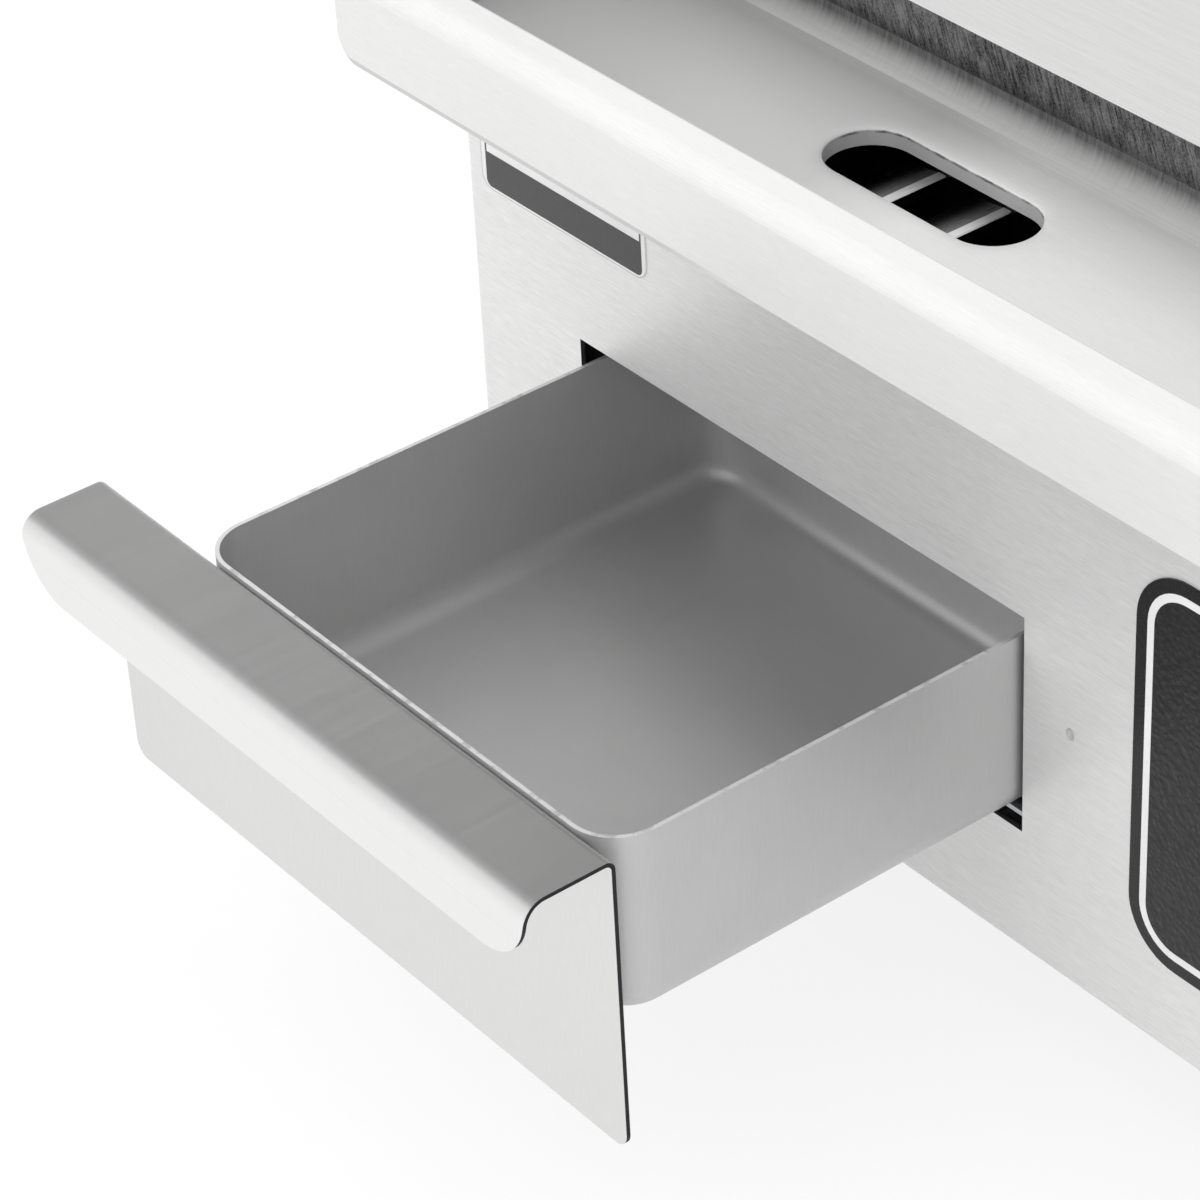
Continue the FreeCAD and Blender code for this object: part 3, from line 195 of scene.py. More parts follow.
# Stainless sheet: strokes run along the grain; scales are one over the stroke's size in metres.
# The ways lie a little off the axes, so that no face is square to them.

GRAIN_WAYS = {"x": (1.0, 0.06, 0.02), "z": (0.02, 0.05, 1.0), "yz": (0.03, 1.0, 0.97)}
GRAIN_AXES = {"x": (1, 0, 0), "y": (0, 1, 0), "z": (0, 0, 1), "yz": (0, 1, 1)}


def stroke_scale(grain, along, across):
    return tuple(along if runs else across for runs in GRAIN_AXES[grain])


SIDE_FACE = 0.7
STROKE_SCALES = (170.0, 3600.0)
STREAK_SCALES = (22.0, 800.0)
ROUGH_SWING = 0.04
GRAIN_DEPTH = (1.2e-6, 1.0e-5)


def steel_graph(name, colour, grain, rough, contrast, cloud_contrast=0.03, edges=None,
                stretch=0.6, metal=1.0):
    """Brushed stainless: short strokes, long streaks and faint clouds; edges(g) paints shade and highlights
    into chosen places.
    """
    g = Graph(name)
    strokes = g.noise(stroke_scale(grain, *STROKE_SCALES), 3.0, 0.65)
    if grain == "x":
        side = g.math("GREATER_THAN", g.facing(0), SIDE_FACE)
        strokes = g.pick(side, strokes, g.noise(stroke_scale("y", *STROKE_SCALES), 3.0, 0.65))
    streaks = g.noise(stroke_scale(grain, *STREAK_SCALES), 2.0, 0.5)
    clouds = g.noise((16.0, 16.0, 16.0), 4.0, 0.6)
    grain_tone = g.spread(g.blend(((strokes, 0.8), (streaks, 0.2))), 0.0, 1.0)
    shade = g.tint(grain_tone, scaled(colour, 1.0 - contrast), scaled(colour, 1.0 + contrast))
    cloud_tone = g.spread(clouds, 1.0 - cloud_contrast, 1.0 + cloud_contrast)
    shade = g.add("VectorMath", {0: shade, 3: cloud_tone}, operation="SCALE").outputs[0]
    roughness = g.spread(g.blend(((streaks, 0.5), (clouds, 0.5))), rough - ROUGH_SWING,
                         rough + ROUGH_SWING)
    if edges is not None:
        for mask, edge_colour in edges(g):
            shade = g.tint(mask, shade, edge_colour)
    return g.surface(Base_Color=shade, Metallic=metal, Roughness=roughness, Anisotropic=stretch,
                     Tangent=g.across(GRAIN_WAYS[grain]),
                     Normal=g.bump(strokes, GRAIN_DEPTH[0] + contrast * GRAIN_DEPTH[1]))


def panel_edges(g):
    """Painted shade: the cut edges round the drawer opening are painted dark."""
    opening = g.math("MULTIPLY", g.between(g.coordinate(0), *OPENING_X),
                     g.between(g.coordinate(2), *OPENING_Z))
    turned = g.math("LESS_THAN", g.facing(1), 0.5)
    return [(g.math("MULTIPLY", opening, turned), PAINTED_EDGE_SHADE)]


def drawer_edges(g):
    """Painted shade on the flange's top, a painted highlight on the nose, and painted shade on the cut side
    edges.
    """
    # Painted shade: faces that look up or down, such as the flange's top, painted darker
    flange = g.range(g.facing(2, "Normal"), 0.75, 0.97)
    # Painted highlight: the nose's front painted lighter
    nose = g.math("MULTIPLY", g.math("LESS_THAN", g.coordinate(1), NOSE_Y),
                  g.range(g.facing(1, "Normal"), 0.5, 0.9))
    # The last share is painted shade on the cut side edges, the faces that look along X
    return [(g.math("MULTIPLY", flange, 0.9), scaled(DRAWER_STEEL, 0.62)), (nose, scaled(DRAWER_STEEL, 1.13)),
            (g.math("GREATER_THAN", g.facing(0), 0.75), PAINTED_EDGE_SHADE)]


def pan_edges(g):
    """Painted highlight: the pan's rim is painted as a bright cut edge, broken by darker nicks."""
    high = g.math("GREATER_THAN", g.coordinate(2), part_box("drawer_pan")[1][2] - 0.3 * MM)
    rim = g.math("MULTIPLY", high, g.math("GREATER_THAN", g.facing(2), 0.7))
    nicks = g.range(g.noise((300.0, 300.0, 300.0), 3.0), 0.52, 0.66)
    return [(rim, g.tint(nicks, PAINTED_RIM_HIGHLIGHT, scaled(PAINTED_RIM_HIGHLIGHT, 0.7)))]


# Painted shade: the trough's floor is painted darker from right to left between these; then shares of the
# tray's own tone for its painted shade
FLOOR_SHADE_FROM = DRAIN[0][0] + 10.0 * MM
FLOOR_SHADE_TO = DRAIN[0][0] - 20.0 * MM
FLOOR_PAINTED_SHADE = 0.74
RISER_PAINTED_SHADE = 0.10
RIM_LINE_SHADE = 0.25


def tray_edges(g):
    """Painted shade: the trough's floor darker at the left, a broken dark line round the back of the drain's
    rim, a dark riser.
    """
    height = g.coordinate(2)
    # Painted shade: a dark line just below the trough's floor at the back of the drain, broken by noise
    rim = g.between(height, RIM_SHADE_BAND[0], RIM_SHADE_BAND[1])
    shade_breaks = g.range(g.noise((260.0, 260.0, 900.0), 4.0, 0.7), 0.40, 0.62)
    shade_breaks = g.math("MULTIPLY", shade_breaks, g.math("GREATER_THAN", g.coordinate(1), DRAIN[0][1]))
    # Painted shade: the riser at the trough's back is painted dark, streaked by noise
    riser = g.math("MULTIPLY", g.range(height, TROUGH_FLOOR, TROUGH_FLOOR + 6.0 * MM),
                   g.math("GREATER_THAN", g.coordinate(1), RISER_Y))
    riser = g.math("MULTIPLY", riser, g.math("LESS_THAN", height, TROUGH_FLOOR + 15.6 * MM))
    brushed = g.noise((1400.0, 160.0, 160.0), 3.0, 0.6)
    # Painted shade: the trough's floor is painted darker towards the left
    floor = g.math("MULTIPLY", g.math("LESS_THAN", height, TROUGH_FLOOR + 0.6 * MM),
                   g.range(g.coordinate(0), FLOOR_SHADE_FROM, FLOOR_SHADE_TO))
    return [(floor, scaled(TRAY_STEEL, FLOOR_PAINTED_SHADE)),
            (g.math("MULTIPLY", riser, g.spread(brushed, 0.80, 1.0)), scaled(TRAY_STEEL, RISER_PAINTED_SHADE)),
            (g.math("MULTIPLY", rim, shade_breaks), scaled(TRAY_STEEL, RIM_LINE_SHADE))]


def plain_metal(name, colour, rough, scale=900.0, depth=4.0e-6):
    """A small metal part: slight mottling and fine pits."""
    g = Graph(name)
    mottle = g.noise((60.0, 60.0, 60.0), 3.0)
    pits = g.noise((scale, scale, scale), 2.0)
    shade = g.tint(g.spread(mottle, 0.0, 1.0), scaled(colour, 0.85), scaled(colour, 1.08))
    return g.surface(Base_Color=shade,
                     Metallic=1.0, Roughness=g.spread(mottle, rough - 0.06, rough + 0.06),
                     Normal=g.bump(pits, depth))


def galvanised_sheet():
    """Zinc-coated sheet with its crystal pattern."""
    g = Graph("galvanised_sheet")
    cells = g.add("TexVoronoi", {"Vector": g.position((1.0, 1.0, 1.0)), "Scale": 110.0}, feature="F1")
    tone = g.add("SeparateXYZ", {0: cells.outputs["Color"]}).outputs[0]
    return g.surface(Base_Color=g.tint(tone, scaled(GALVANISED, 0.8), scaled(GALVANISED, 1.25)), Metallic=1.0,
                     Roughness=g.range(tone, 0.0, 1.0, 0.36, 0.5), Normal=g.bump(tone, 4.0e-6))


def soft_solid(name, colour, rough, scale, depth, coat=0.0):
    """Plastic, rubber or ceramic: a faint tone change and a moulded texture."""
    g = Graph(name)
    mottle = g.noise((40.0, 40.0, 40.0), 3.0)
    grain = g.noise((scale, scale, scale), 3.0, 0.6)
    return g.surface(Base_Color=g.tint(g.spread(mottle, 0.0, 1.0), scaled(colour, 0.8), scaled(colour, 1.15)),
                     Roughness=g.spread(grain, rough - 0.05, rough + 0.05), Coat_Weight=coat,
                     Normal=g.bump(grain, depth))


def ground_plate():
    """The griddle plate's ground faces: fine marks from side to side under faint clouds."""
    g = Graph("ground_plate")
    fine = g.noise((60.0, 1500.0, 1500.0), 4.0, 0.65)
    cloud = g.noise((14.0, 14.0, 14.0), 4.0, 0.6)
    tone = g.spread(g.blend(((fine, 0.65), (cloud, 0.35))), 0.0, 1.0)
    shade = g.tint(tone, scaled(PLATE_STEEL, 0.9), scaled(PLATE_STEEL, 1.06))
    return g.surface(Base_Color=shade, Metallic=1.0,
                     Roughness=g.spread(cloud, 0.36, 0.46), Normal=g.bump(fine, 3.0e-6))


def torn_steel():
    """The plate's sawn edge: dark, with leaning striations that catch the light and a darker foot."""
    g = Graph("torn_steel")
    lean = g.add("Mapping", {"Vector": g.place(), "Rotation": (0.0, math.radians(22.0), 0.0)}).outputs[0]
    drawn_out = g.add("Mapping", {"Vector": lean, "Scale": (1700.0, 1700.0, 190.0)}).outputs[0]
    score_inputs = {"Vector": drawn_out, "Scale": 1.0, "Detail": 6.0, "Roughness": 0.78}
    long_scores = g.add("TexNoise", score_inputs).outputs["Fac"]
    grit = g.noise((2200.0, 2200.0, 2200.0), 3.0, 0.7)
    patches = g.noise((130.0, 130.0, 130.0), 3.0)
    tone = g.range(g.blend(((long_scores, 0.6), (grit, 0.28), (patches, 0.12))), 0.42, 0.60)
    foot = g.range(g.coordinate(2), PLATE[0][2] + 0.5 * MM, PLATE[0][2] + 4.5 * MM, 0.45, 1.0)
    shade = g.tint(tone, scaled(TORN_STEEL, 0.12), scaled(TORN_STEEL, 3.2))
    shade = g.add("VectorMath", {0: shade, 3: foot}, operation="SCALE").outputs[0]
    height = g.blend(((long_scores, 0.7), (grit, 0.3)))
    return g.surface(Base_Color=shade, Metallic=0.7, Roughness=g.spread(long_scores, 0.38, 0.6),
                     Normal=g.bump(height, 2.2e-4))


def leather_film():
    """The control film: black, embossed like coarse leather."""
    g = Graph("leather_film")
    wander = g.noise((500.0, 500.0, 500.0), 3.0)
    sway = g.add("TexNoise", {"Vector": g.position((700.0, 700.0, 700.0)), "Scale": 1.0}).outputs["Color"]
    sway = g.add("VectorMath", {0: sway, 3: 0.0009}, operation="SCALE").outputs[0]
    bent = g.add("VectorMath", {0: g.place(), 1: sway}, operation="ADD").outputs[0]
    cells = g.add("TexVoronoi", {"Vector": bent, "Scale": 780.0}, feature="SMOOTH_F1")
    pebble = g.range(cells.outputs["Distance"], 0.0, 0.7, 1.0, 0.0)
    height = g.blend(((pebble, 0.8), (wander, 0.35)))
    return g.surface(Base_Color=g.tint(pebble, scaled(FILM_BLACK, 0.6), scaled(FILM_BLACK, 1.5)),
                     Roughness=g.spread(wander, 0.30, 0.42), Specular_IOR_Level=0.38,
                     Normal=g.bump(height, 1.6e-4))


def smooth_film():
    g = Graph("smooth_film")
    wander = g.noise((600.0, 600.0, 600.0), 2.0)
    return g.surface(Base_Color=g.tint(wander, scaled(FILM_BLACK, 0.8), scaled(FILM_BLACK, 1.2)),
                     Roughness=g.spread(wander, 0.24, 0.32), Specular_IOR_Level=0.3,
                     Normal=g.bump(wander, 4.0e-6))


def gloss_enamel():
    g = Graph("gloss_enamel")
    orange_peel = g.noise((260.0, 260.0, 260.0), 1.0)
    mottle = g.noise((30.0, 30.0, 30.0), 2.0)
    return g.surface(Base_Color=g.tint(mottle, scaled(ENAMEL_BLACK, 0.7), scaled(ENAMEL_BLACK, 1.5)),
                     Roughness=g.spread(mottle, 0.10, 0.14), Coat_Weight=0.5, Coat_Roughness=0.04,
                     Normal=g.bump(orange_peel, 4.0e-6))


def printed(name, colour, rough=0.5):
    """Ink or sticker film, nearly even, with a paper-like tooth."""
    g = Graph(name)
    tooth = g.noise((1900.0, 1900.0, 1900.0), 3.0)
    cloud = g.noise((70.0, 70.0, 70.0), 3.0)
    shade = g.tint(g.spread(cloud, 0.0, 1.0), scaled(colour, 0.95), scaled(colour, 1.05))
    return g.surface(Base_Color=shade, Roughness=g.spread(tooth, rough - 0.06, rough + 0.06),
                     Normal=g.bump(tooth, 3.0e-6))


def lens_plastic(name, colour):
    g = Graph(name)
    cloud = g.noise((300.0, 300.0, 300.0), 2.0)
    return g.surface(Base_Color=g.tint(cloud, scaled(colour, 0.85), scaled(colour, 1.1)),
                     Roughness=g.spread(cloud, 0.08, 0.14), Transmission_Weight=0.35, IOR=1.49,
                     Coat_Weight=0.5, Normal=g.bump(cloud, 2.0e-5))


def fibre_blanket():
    g = Graph("fibre_blanket")
    tufts = g.noise((160.0, 160.0, 160.0), 6.0, 0.7)
    fibres = g.noise((900.0, 220.0, 900.0), 4.0, 0.7)
    return g.surface(Base_Color=g.tint(tufts, scaled(BLANKET_WHITE, 0.8), scaled(BLANKET_WHITE, 1.1)),
                     Roughness=g.spread(fibres, 0.85, 0.98), Sheen_Weight=0.3,
                     Normal=g.bump(g.math("ADD", tufts, fibres), 3.0e-4))


ZINC_PLATED = plain_metal("zinc_plated", ZINC, 0.34)
GALVANISED_SHEET = galvanised_sheet()
TUBE = plain_metal("heating_tube", TUBE_STEEL, 0.5, 500.0, 1.0e-5)
COPPER_TUBE = plain_metal("copper", COPPER, 0.35)
BRASS_PART = plain_metal("brass", BRASS, 0.3)
RUBBER = soft_solid("rubber", RUBBER_BLACK, 0.62, 900.0, 2.0e-5)
PLASTIC = soft_solid("moulded_plastic", PLASTIC_BLACK, 0.34, 1600.0, 8.0e-6)
CERAMIC_PART = soft_solid("ceramic", CERAMIC, 0.6, 700.0, 2.0e-5)
ENAMEL = gloss_enamel()
TORN = torn_steel()
LEATHER = leather_film()
FILM = smooth_film()
WHITE_INK = printed("print_white", PRINT_WHITE)
GREY_INK = printed("print_grey", PRINT_GREY)
FAINT_INK = printed("print_faint", PRINT_FAINT)
GREEN_LENS = lens_plastic("lens_green", LENS_GREEN)
AMBER_LENS = lens_plastic("lens_amber", LENS_AMBER)
SHELL = steel_graph("steel_shell", SHELL_STEEL, "x", 0.42, 0.07, metal=0.7)
DRAWER_SHEET = steel_graph("steel_drawer_front", DRAWER_STEEL, "yz", 0.50, 0.035, 0.015,
                           drawer_edges, 0.85, 1.0)
TRAY_SHEET = steel_graph("steel_tray", TRAY_STEEL, "x", 0.42, 0.05, 0.02, tray_edges, 0.6, 0.25)
FINISH = {
    "top_tray": TRAY_SHEET,
    "splash_guard": steel_graph("steel_guard", SHELL_STEEL, "x", 0.38, 0.05, metal=0.8),
    "front_panel": steel_graph("steel_panel", PANEL_STEEL, "x", 0.42, 0.11, 0.02, panel_edges, 0.6, 0.40),
    "body_shell": SHELL,
    "drawer_pan": steel_graph("steel_pan", PAN_STEEL, "z", 0.46, 0.03, 0.05, pan_edges, 0.3, 0.6),
    "drawer_front": DRAWER_SHEET,
    "griddle_plate": ground_plate(),
    "drain_chute": ENAMEL,
    "control_overlay": FILM,
    "blank_label": WHITE_INK,
    "knob_body": PLASTIC,
    "knob_pointer": WHITE_INK,
    "thermostat_body": CERAMIC_PART,
    "thermostat_bulb": COPPER_TUBE,
    "lamp_power": PLASTIC,
    "lamp_heat": PLASTIC,
    "lens_power": GREEN_LENS,
    "lens_heat": AMBER_LENS,
    "heating_element_left": TUBE,
    "heating_element_right": TUBE,
    "insulation_blanket": fibre_blanket(),
    "high_limit_cutout": CERAMIC_PART,
    "terminal_block": CERAMIC_PART,
    "earth_stud": BRASS_PART,
    "earth_nut": BRASS_PART,
    "cable_gland": PLASTIC,
    "gland_nut": PLASTIC,
    "foot_front_left": RUBBER,
    "foot_back_left": RUBBER,
    "foot_front_right": RUBBER,
    "foot_back_right": RUBBER,
}
GALVANISED_NODES = ("base_plate", "guide_rail_left", "guide_rail_right", "rail_bracket", "heat_shield",
                    "clamp_bars")
for name in GALVANISED_NODES:
    FINISH[name] = GALVANISED_SHEET
for name, node in nodes.items():
    node.data.materials.clear()
    node.data.materials.append(FINISH.get(name, ZINC_PLATED))


# Pieces: meshes made in place, each riding on its body

def piece(name, bm, material, body, smooth=False):
    bmesh.ops.recalc_face_normals(bm, faces=bm.faces)
    mesh = bpy.data.meshes.new(name)
    bm.to_mesh(mesh)
    bm.free()
    mesh.materials.append(material)
    for face in mesh.polygons:
        face.use_smooth = smooth
    thing = bpy.data.objects.new(name, mesh)
    bpy.context.scene.collection.objects.link(thing)
    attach(thing, body)
    return thing


def rounded_outline(x0, x1, z0, z1, radii, steps=10):
    """Corner arcs of a rectangle in the XZ plane, from the lower left one round; in metres."""
    corners = ((x0, z0, 1, 1, 180), (x1, z0, -1, 1, 270), (x1, z1, -1, -1, 0), (x0, z1, 1, -1, 90))
    points = []
    for (x, z, dx, dz, start), radius in zip(corners, radii):
        for i in range(steps + 1):
            turn = math.radians(start + 90.0 * i / steps)
            points.append((x + dx * radius + radius * math.cos(turn),
                           z + dz * radius + radius * math.sin(turn)))
    return points


def loop_at(bm, points, y):
    return [bm.verts.new((x, y, z)) for x, z in points]


def join_loops(bm, first, second):
    count = len(first)
    for i in range(count):
        j = (i + 1) % count
        bm.faces.new((first[i], first[j], second[j], second[i]))


def film_patch(name, outline, face_y, thickness, material, body):
    """A thin film on a face that looks to -Y, with its rim chamfered."""
    bm = bmesh.new()
    back = loop_at(bm, outline, face_y)
    rim = loop_at(bm, outline, face_y - 0.6 * thickness)
    middle = Vector((sum(p[0] for p in outline), 0, sum(p[1] for p in outline))) / len(outline)
    inner = [(x + (middle.x - x) * 0.002, z + (middle.z - z) * 0.002) for x, z in outline]
    front = loop_at(bm, inner, face_y - thickness)
    join_loops(bm, back, rim)
    join_loops(bm, rim, front)
    bm.faces.new(back)
    bm.faces.new(front)
    return piece(name, bm, material, body)


def film_frame(name, outer, inner, face_y, thickness, material, body):
    """A closed band of film between two outlines with the same number of points."""
    bm = bmesh.new()
    loops = [loop_at(bm, outer, face_y), loop_at(bm, outer, face_y - thickness),
             loop_at(bm, inner, face_y - thickness), loop_at(bm, inner, face_y)]
    for i in range(4):
        join_loops(bm, loops[i], loops[(i + 1) % 4])
    return piece(name, bm, material, body)


def lathe(bm, profile, centre, axis, steps=48):
    """Turn a profile of (radius, height) points round an axis; the first and last points close on it."""
    axis = Vector(axis).normalized()
    across = axis.orthogonal().normalized()
    other = axis.cross(across)
    rings = []
    for radius, height in profile:
        base = Vector(centre) + axis * height
        if radius < 1e-6:
            rings.append([bm.verts.new(base)])
            continue
        ring = []
        for i in range(steps):
            turn = 2.0 * math.pi * i / steps
            ring.append(bm.verts.new(base + (across * math.cos(turn) + other * math.sin(turn)) * radius))
        rings.append(ring)
    for low, high in zip(rings, rings[1:]):
        for i in range(steps):
            j = (i + 1) % steps
            corners = []
            for vert in (low[i % len(low)], low[j % len(low)], high[j % len(high)], high[i % len(high)]):
                if vert not in corners:
                    corners.append(vert)
            if len(corners) > 2:
                bm.faces.new(corners)


def bar_along(bm, section, start, end):
    """A closed section of (u, v) offsets carried from start to end, u level and v up."""
    way = (Vector(end) - Vector(start)).normalized()
    level = way.cross(Vector((0, 0, 1))).normalized()
    up = level.cross(way)
    rings = []
    for point in (Vector(start), Vector(end)):
        rings.append([bm.verts.new(point + level * u + up * v) for u, v in section])
    join_loops(bm, rings[0], rings[1])
    bm.faces.new(rings[0])
    bm.faces.new(rings[1])


# Control film: smooth margin, white outline, leather field

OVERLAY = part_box("control_overlay")
OVERLAY_FACE = OVERLAY[0][1]
OUTLINE_IN = 3.2 * MM
OUTLINE_W = 1.9 * MM
OVERLAY_CORNER = 14.0 * MM
KNOB_PLACE = Vector(((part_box("knob_body")[0][0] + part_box("knob_body")[1][0]) / 2.0, OVERLAY_FACE,
                     (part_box("knob_body")[0][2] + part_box("knob_body")[1][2]) / 2.0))


def overlay_outline(inset, corner):
    return rounded_outline(OVERLAY[0][0] + inset, OVERLAY[1][0] - inset, OVERLAY[0][2] + inset,
                           OVERLAY[1][2] - inset, [corner - inset] * 4)


def control_film():
    outer = overlay_outline(OUTLINE_IN, OVERLAY_CORNER)
    inner = overlay_outline(OUTLINE_IN + OUTLINE_W, OVERLAY_CORNER)
    film_frame("overlay_outline", outer, inner, OVERLAY_FACE, 0.06 * MM, WHITE_INK, "body")
    film_patch("overlay_field", inner, OVERLAY_FACE, 0.04 * MM, LEATHER, "body")


# Dial: ticks and plain numbers round the knob

DIAL_R = 31.0 * MM
TICK = (2.6 * MM, 0.55 * MM)
NUMBERS = ("0", "50", "100", "150", "200", "250", "300")
SWEEP = 300.0
NUMBER_SIZE = 5.2 * MM


def dial_direction(turn):
    """Clockwise from straight up, as the knob is turned."""
    angle = math.radians(turn)
    return Vector((math.sin(angle), 0.0, math.cos(angle)))


def dial_tick(turn, length):
    bm = bmesh.new()
    way = dial_direction(turn)
    side = Vector((way.z, 0.0, -way.x)) * TICK[1] / 2.0
    start = KNOB_PLACE + way * DIAL_R
    end = start + way * length
    lift = Vector((0.0, -0.07 * MM, 0.0))
    loop = [start - side, start + side, end + side * 0.8, end - side * 0.8]
    low = [bm.verts.new(p) for p in loop]
    high = [bm.verts.new(p + lift) for p in loop]
    join_loops(bm, low, high)
    bm.faces.new(low)
    bm.faces.new(high)
    return bm


def number_piece(text, turn):
    curve = bpy.data.curves.new("number_" + text, "FONT")
    curve.body = text
    curve.size = NUMBER_SIZE
    curve.align_x = "CENTER"
    curve.align_y = "CENTER"
    curve.extrude = 0.04 * MM
    holder = bpy.data.objects.new("number_source", curve)
    bpy.context.scene.collection.objects.link(holder)
    bpy.context.view_layer.update()
    mesh = bpy.data.meshes.new_from_object(holder)
    bpy.data.objects.remove(holder)
    centre = KNOB_PLACE + dial_direction(turn) * (DIAL_R + 7.2 * MM) + Vector((0.0, -0.03 * MM, 0.0))
    mesh.transform(Matrix.Translation(centre) @ Matrix.Rotation(math.radians(90.0), 4, "X"))
    bm = bmesh.new()
    bm.from_mesh(mesh)
    piece("dial_number_" + text, bm, WHITE_INK, "body")


def dial():
    count = len(NUMBERS) - 1
    for i, text in enumerate(NUMBERS):
        number_piece(text, SWEEP * i / count)
    for i in range(4 * count + 1):
        long_one = i % 4 == 0
        bm = dial_tick(SWEEP * i / (4 * count), TICK[0] if long_one else TICK[0] * 0.55)
        piece("dial_tick_%02d" % i, bm, WHITE_INK, "body")


# Knob: ribs round its skirt; lamps: domed lenses

RIBS = 44
RIB_CIRCLE = 23.0 * MM


def knob_ribs():
    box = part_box("knob_body")
    bm = bmesh.new()
    for i in range(RIBS):
        way = dial_direction(360.0 * i / RIBS)
        along = Vector((way.z, 0.0, -way.x))
        start = Vector((KNOB_PLACE.x, box[1][1] - 6.6 * MM, KNOB_PLACE.z)) + way * (RIB_CIRCLE - 0.75 * MM)
        end = Vector((KNOB_PLACE.x, box[0][1] + 2.2 * MM, KNOB_PLACE.z)) + way * (RIB_CIRCLE - 2.05 * MM)
        rings = []
        for point, size in ((start, 0.75 * MM), (end, 0.6 * MM)):
            ring = []
            for step in range(6):
                angle = math.pi * 2.0 * step / 6
                offset = along * size * math.cos(angle) + way * size * math.sin(angle)
                ring.append(bm.verts.new(point + offset))
            rings.append(ring)
        join_loops(bm, rings[0], rings[1])
        bm.faces.new(rings[0])
        bm.faces.new(rings[1])
    return bm


def lens_dome(name, material):
    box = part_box(name)
    radius = (box[1][0] - box[0][0]) / 2.0
    centre = ((box[0][0] + box[1][0]) / 2.0, box[1][1], (box[0][2] + box[1][2]) / 2.0)
    height = box[1][1] - box[0][1]
    profile = [(0.0, 0.0), (radius, 0.0), (radius, height * 0.42)]
    for i in range(1, 9):
        turn = math.radians(90.0 * i / 8)
        profile.append((radius * math.cos(turn), height * (0.42 + 0.58 * math.sin(turn))))
    bm = bmesh.new()
    lathe(bm, profile, centre, (0, -1, 0), 40)
    dome = piece(name + "_dome", bm, material, "body", smooth=True)
    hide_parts(name)


# Sticker under the lip: white film, a thin dark frame and a plain dark band

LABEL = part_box("blank_label")
LABEL_SIDE = (1.9 * MM, 1.7 * MM)
LABEL_FOOT = 0.9 * MM
LABEL_BAND = 9.0 * MM
LABEL_LINE = 0.55 * MM
LABEL_CORNER = 1.8 * MM


def label_print():
    face = LABEL[0][1]
    x0, x1 = LABEL[0][0] + LABEL_SIDE[0], LABEL[1][0] - LABEL_SIDE[1]
    z0, z1 = LABEL[0][2] + LABEL_FOOT, LABEL[1][2] - 2.0 * MM
    band = rounded_outline(x0, x1, z0, z0 + LABEL_BAND, [LABEL_CORNER, LABEL_CORNER, 0.2 * MM, 0.2 * MM])
    film_patch("label_band", band, face, 0.04 * MM, GREY_INK, "body")
    for side, x in (("left", x0), ("right", x1 - LABEL_LINE)):
        line = rounded_outline(x, x + LABEL_LINE, z0 + LABEL_BAND, z1, [0.05 * MM] * 4, 2)
        film_patch("label_line_" + side, line, face, 0.03 * MM, GREY_INK, "body")
    border = rounded_outline(LABEL[0][0] + 0.1 * MM, LABEL[1][0] - 0.1 * MM, LABEL[0][2] + 0.1 * MM,
                             LABEL[1][2] - 0.1 * MM, [3.9 * MM] * 4)
    within = rounded_outline(LABEL[0][0] + 0.35 * MM, LABEL[1][0] - 0.35 * MM, LABEL[0][2] + 0.35 * MM,
                             LABEL[1][2] - 0.35 * MM, [3.65 * MM] * 4)
    film_frame("label_rim", border, within, face, 0.02 * MM, FAINT_INK, "body")


# Plate: its sawn front edge, displaced into leaning scores

EDGE_CHAMFER = 0.4 * MM
TORN_GRID = (900, 14)


def torn_edge():
    bm = bmesh.new()
    columns, rows = TORN_GRID
    x0, x1 = PLATE[0][0] + 1.2 * MM, PLATE[1][0] - 1.2 * MM
    z0, z1 = PLATE[0][2], PLATE[1][2] - EDGE_CHAMFER
    y0 = PLATE[0][1]
    grid = []
    for i in range(columns + 1):
        x = x0 + (x1 - x0) * i / columns
        column = []
        for j in range(rows + 1):
            z = z0 + (z1 - z0) * j / rows
            lean = (z - z0) * 0.35
            score = noise.noise(Vector(((x + lean) * 700.0, z * 60.0, 3.1)))
            ripple = noise.noise(Vector(((x + lean) * 1900.0, z * 240.0, 7.7)))
            depth = (0.18 + 0.12 * score + 0.08 * ripple) * MM
            if j in (0, rows) or i in (0, columns):
                depth = 0.05 * MM
            column.append(bm.verts.new((x, y0 - depth, z)))
        grid.append(column)
    for i in range(columns):
        for j in range(rows):
            bm.faces.new((grid[i][j], grid[i + 1][j], grid[i + 1][j + 1], grid[i][j + 1]))
    foot = [column[0] for column in grid]
    head = [column[-1] for column in grid[-2::-1]]
    rim = foot + grid[-1][1:] + head + grid[0][-2:0:-1]
    back = [bm.verts.new((vert.co.x, y0 + 0.3 * MM, vert.co.z)) for vert in rim]
    join_loops(bm, rim, back)
    bm.faces.new(back)
    piece("plate_torn_edge", bm, TORN, "body")


# Small marks: a weld dimple on the panel, a press line along the handle's nose

WELD_AT = (-70.0 * MM, 98.0 * MM)


def weld_dimple():
    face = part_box("front_panel")[0][1]
    bm = bmesh.new()
    profile = [(0.0, -0.05 * MM), (1.7 * MM, -0.05 * MM), (1.45 * MM, 0.10 * MM), (1.1 * MM, 0.22 * MM),
               (0.75 * MM, 0.10 * MM), (0.4 * MM, 0.05 * MM), (0.0, 0.04 * MM)]
    lathe(bm, profile, (WELD_AT[0], face, WELD_AT[1]), (0, -1, 0), 28)
    piece("weld_dimple", bm, SHELL, "body", smooth=True)


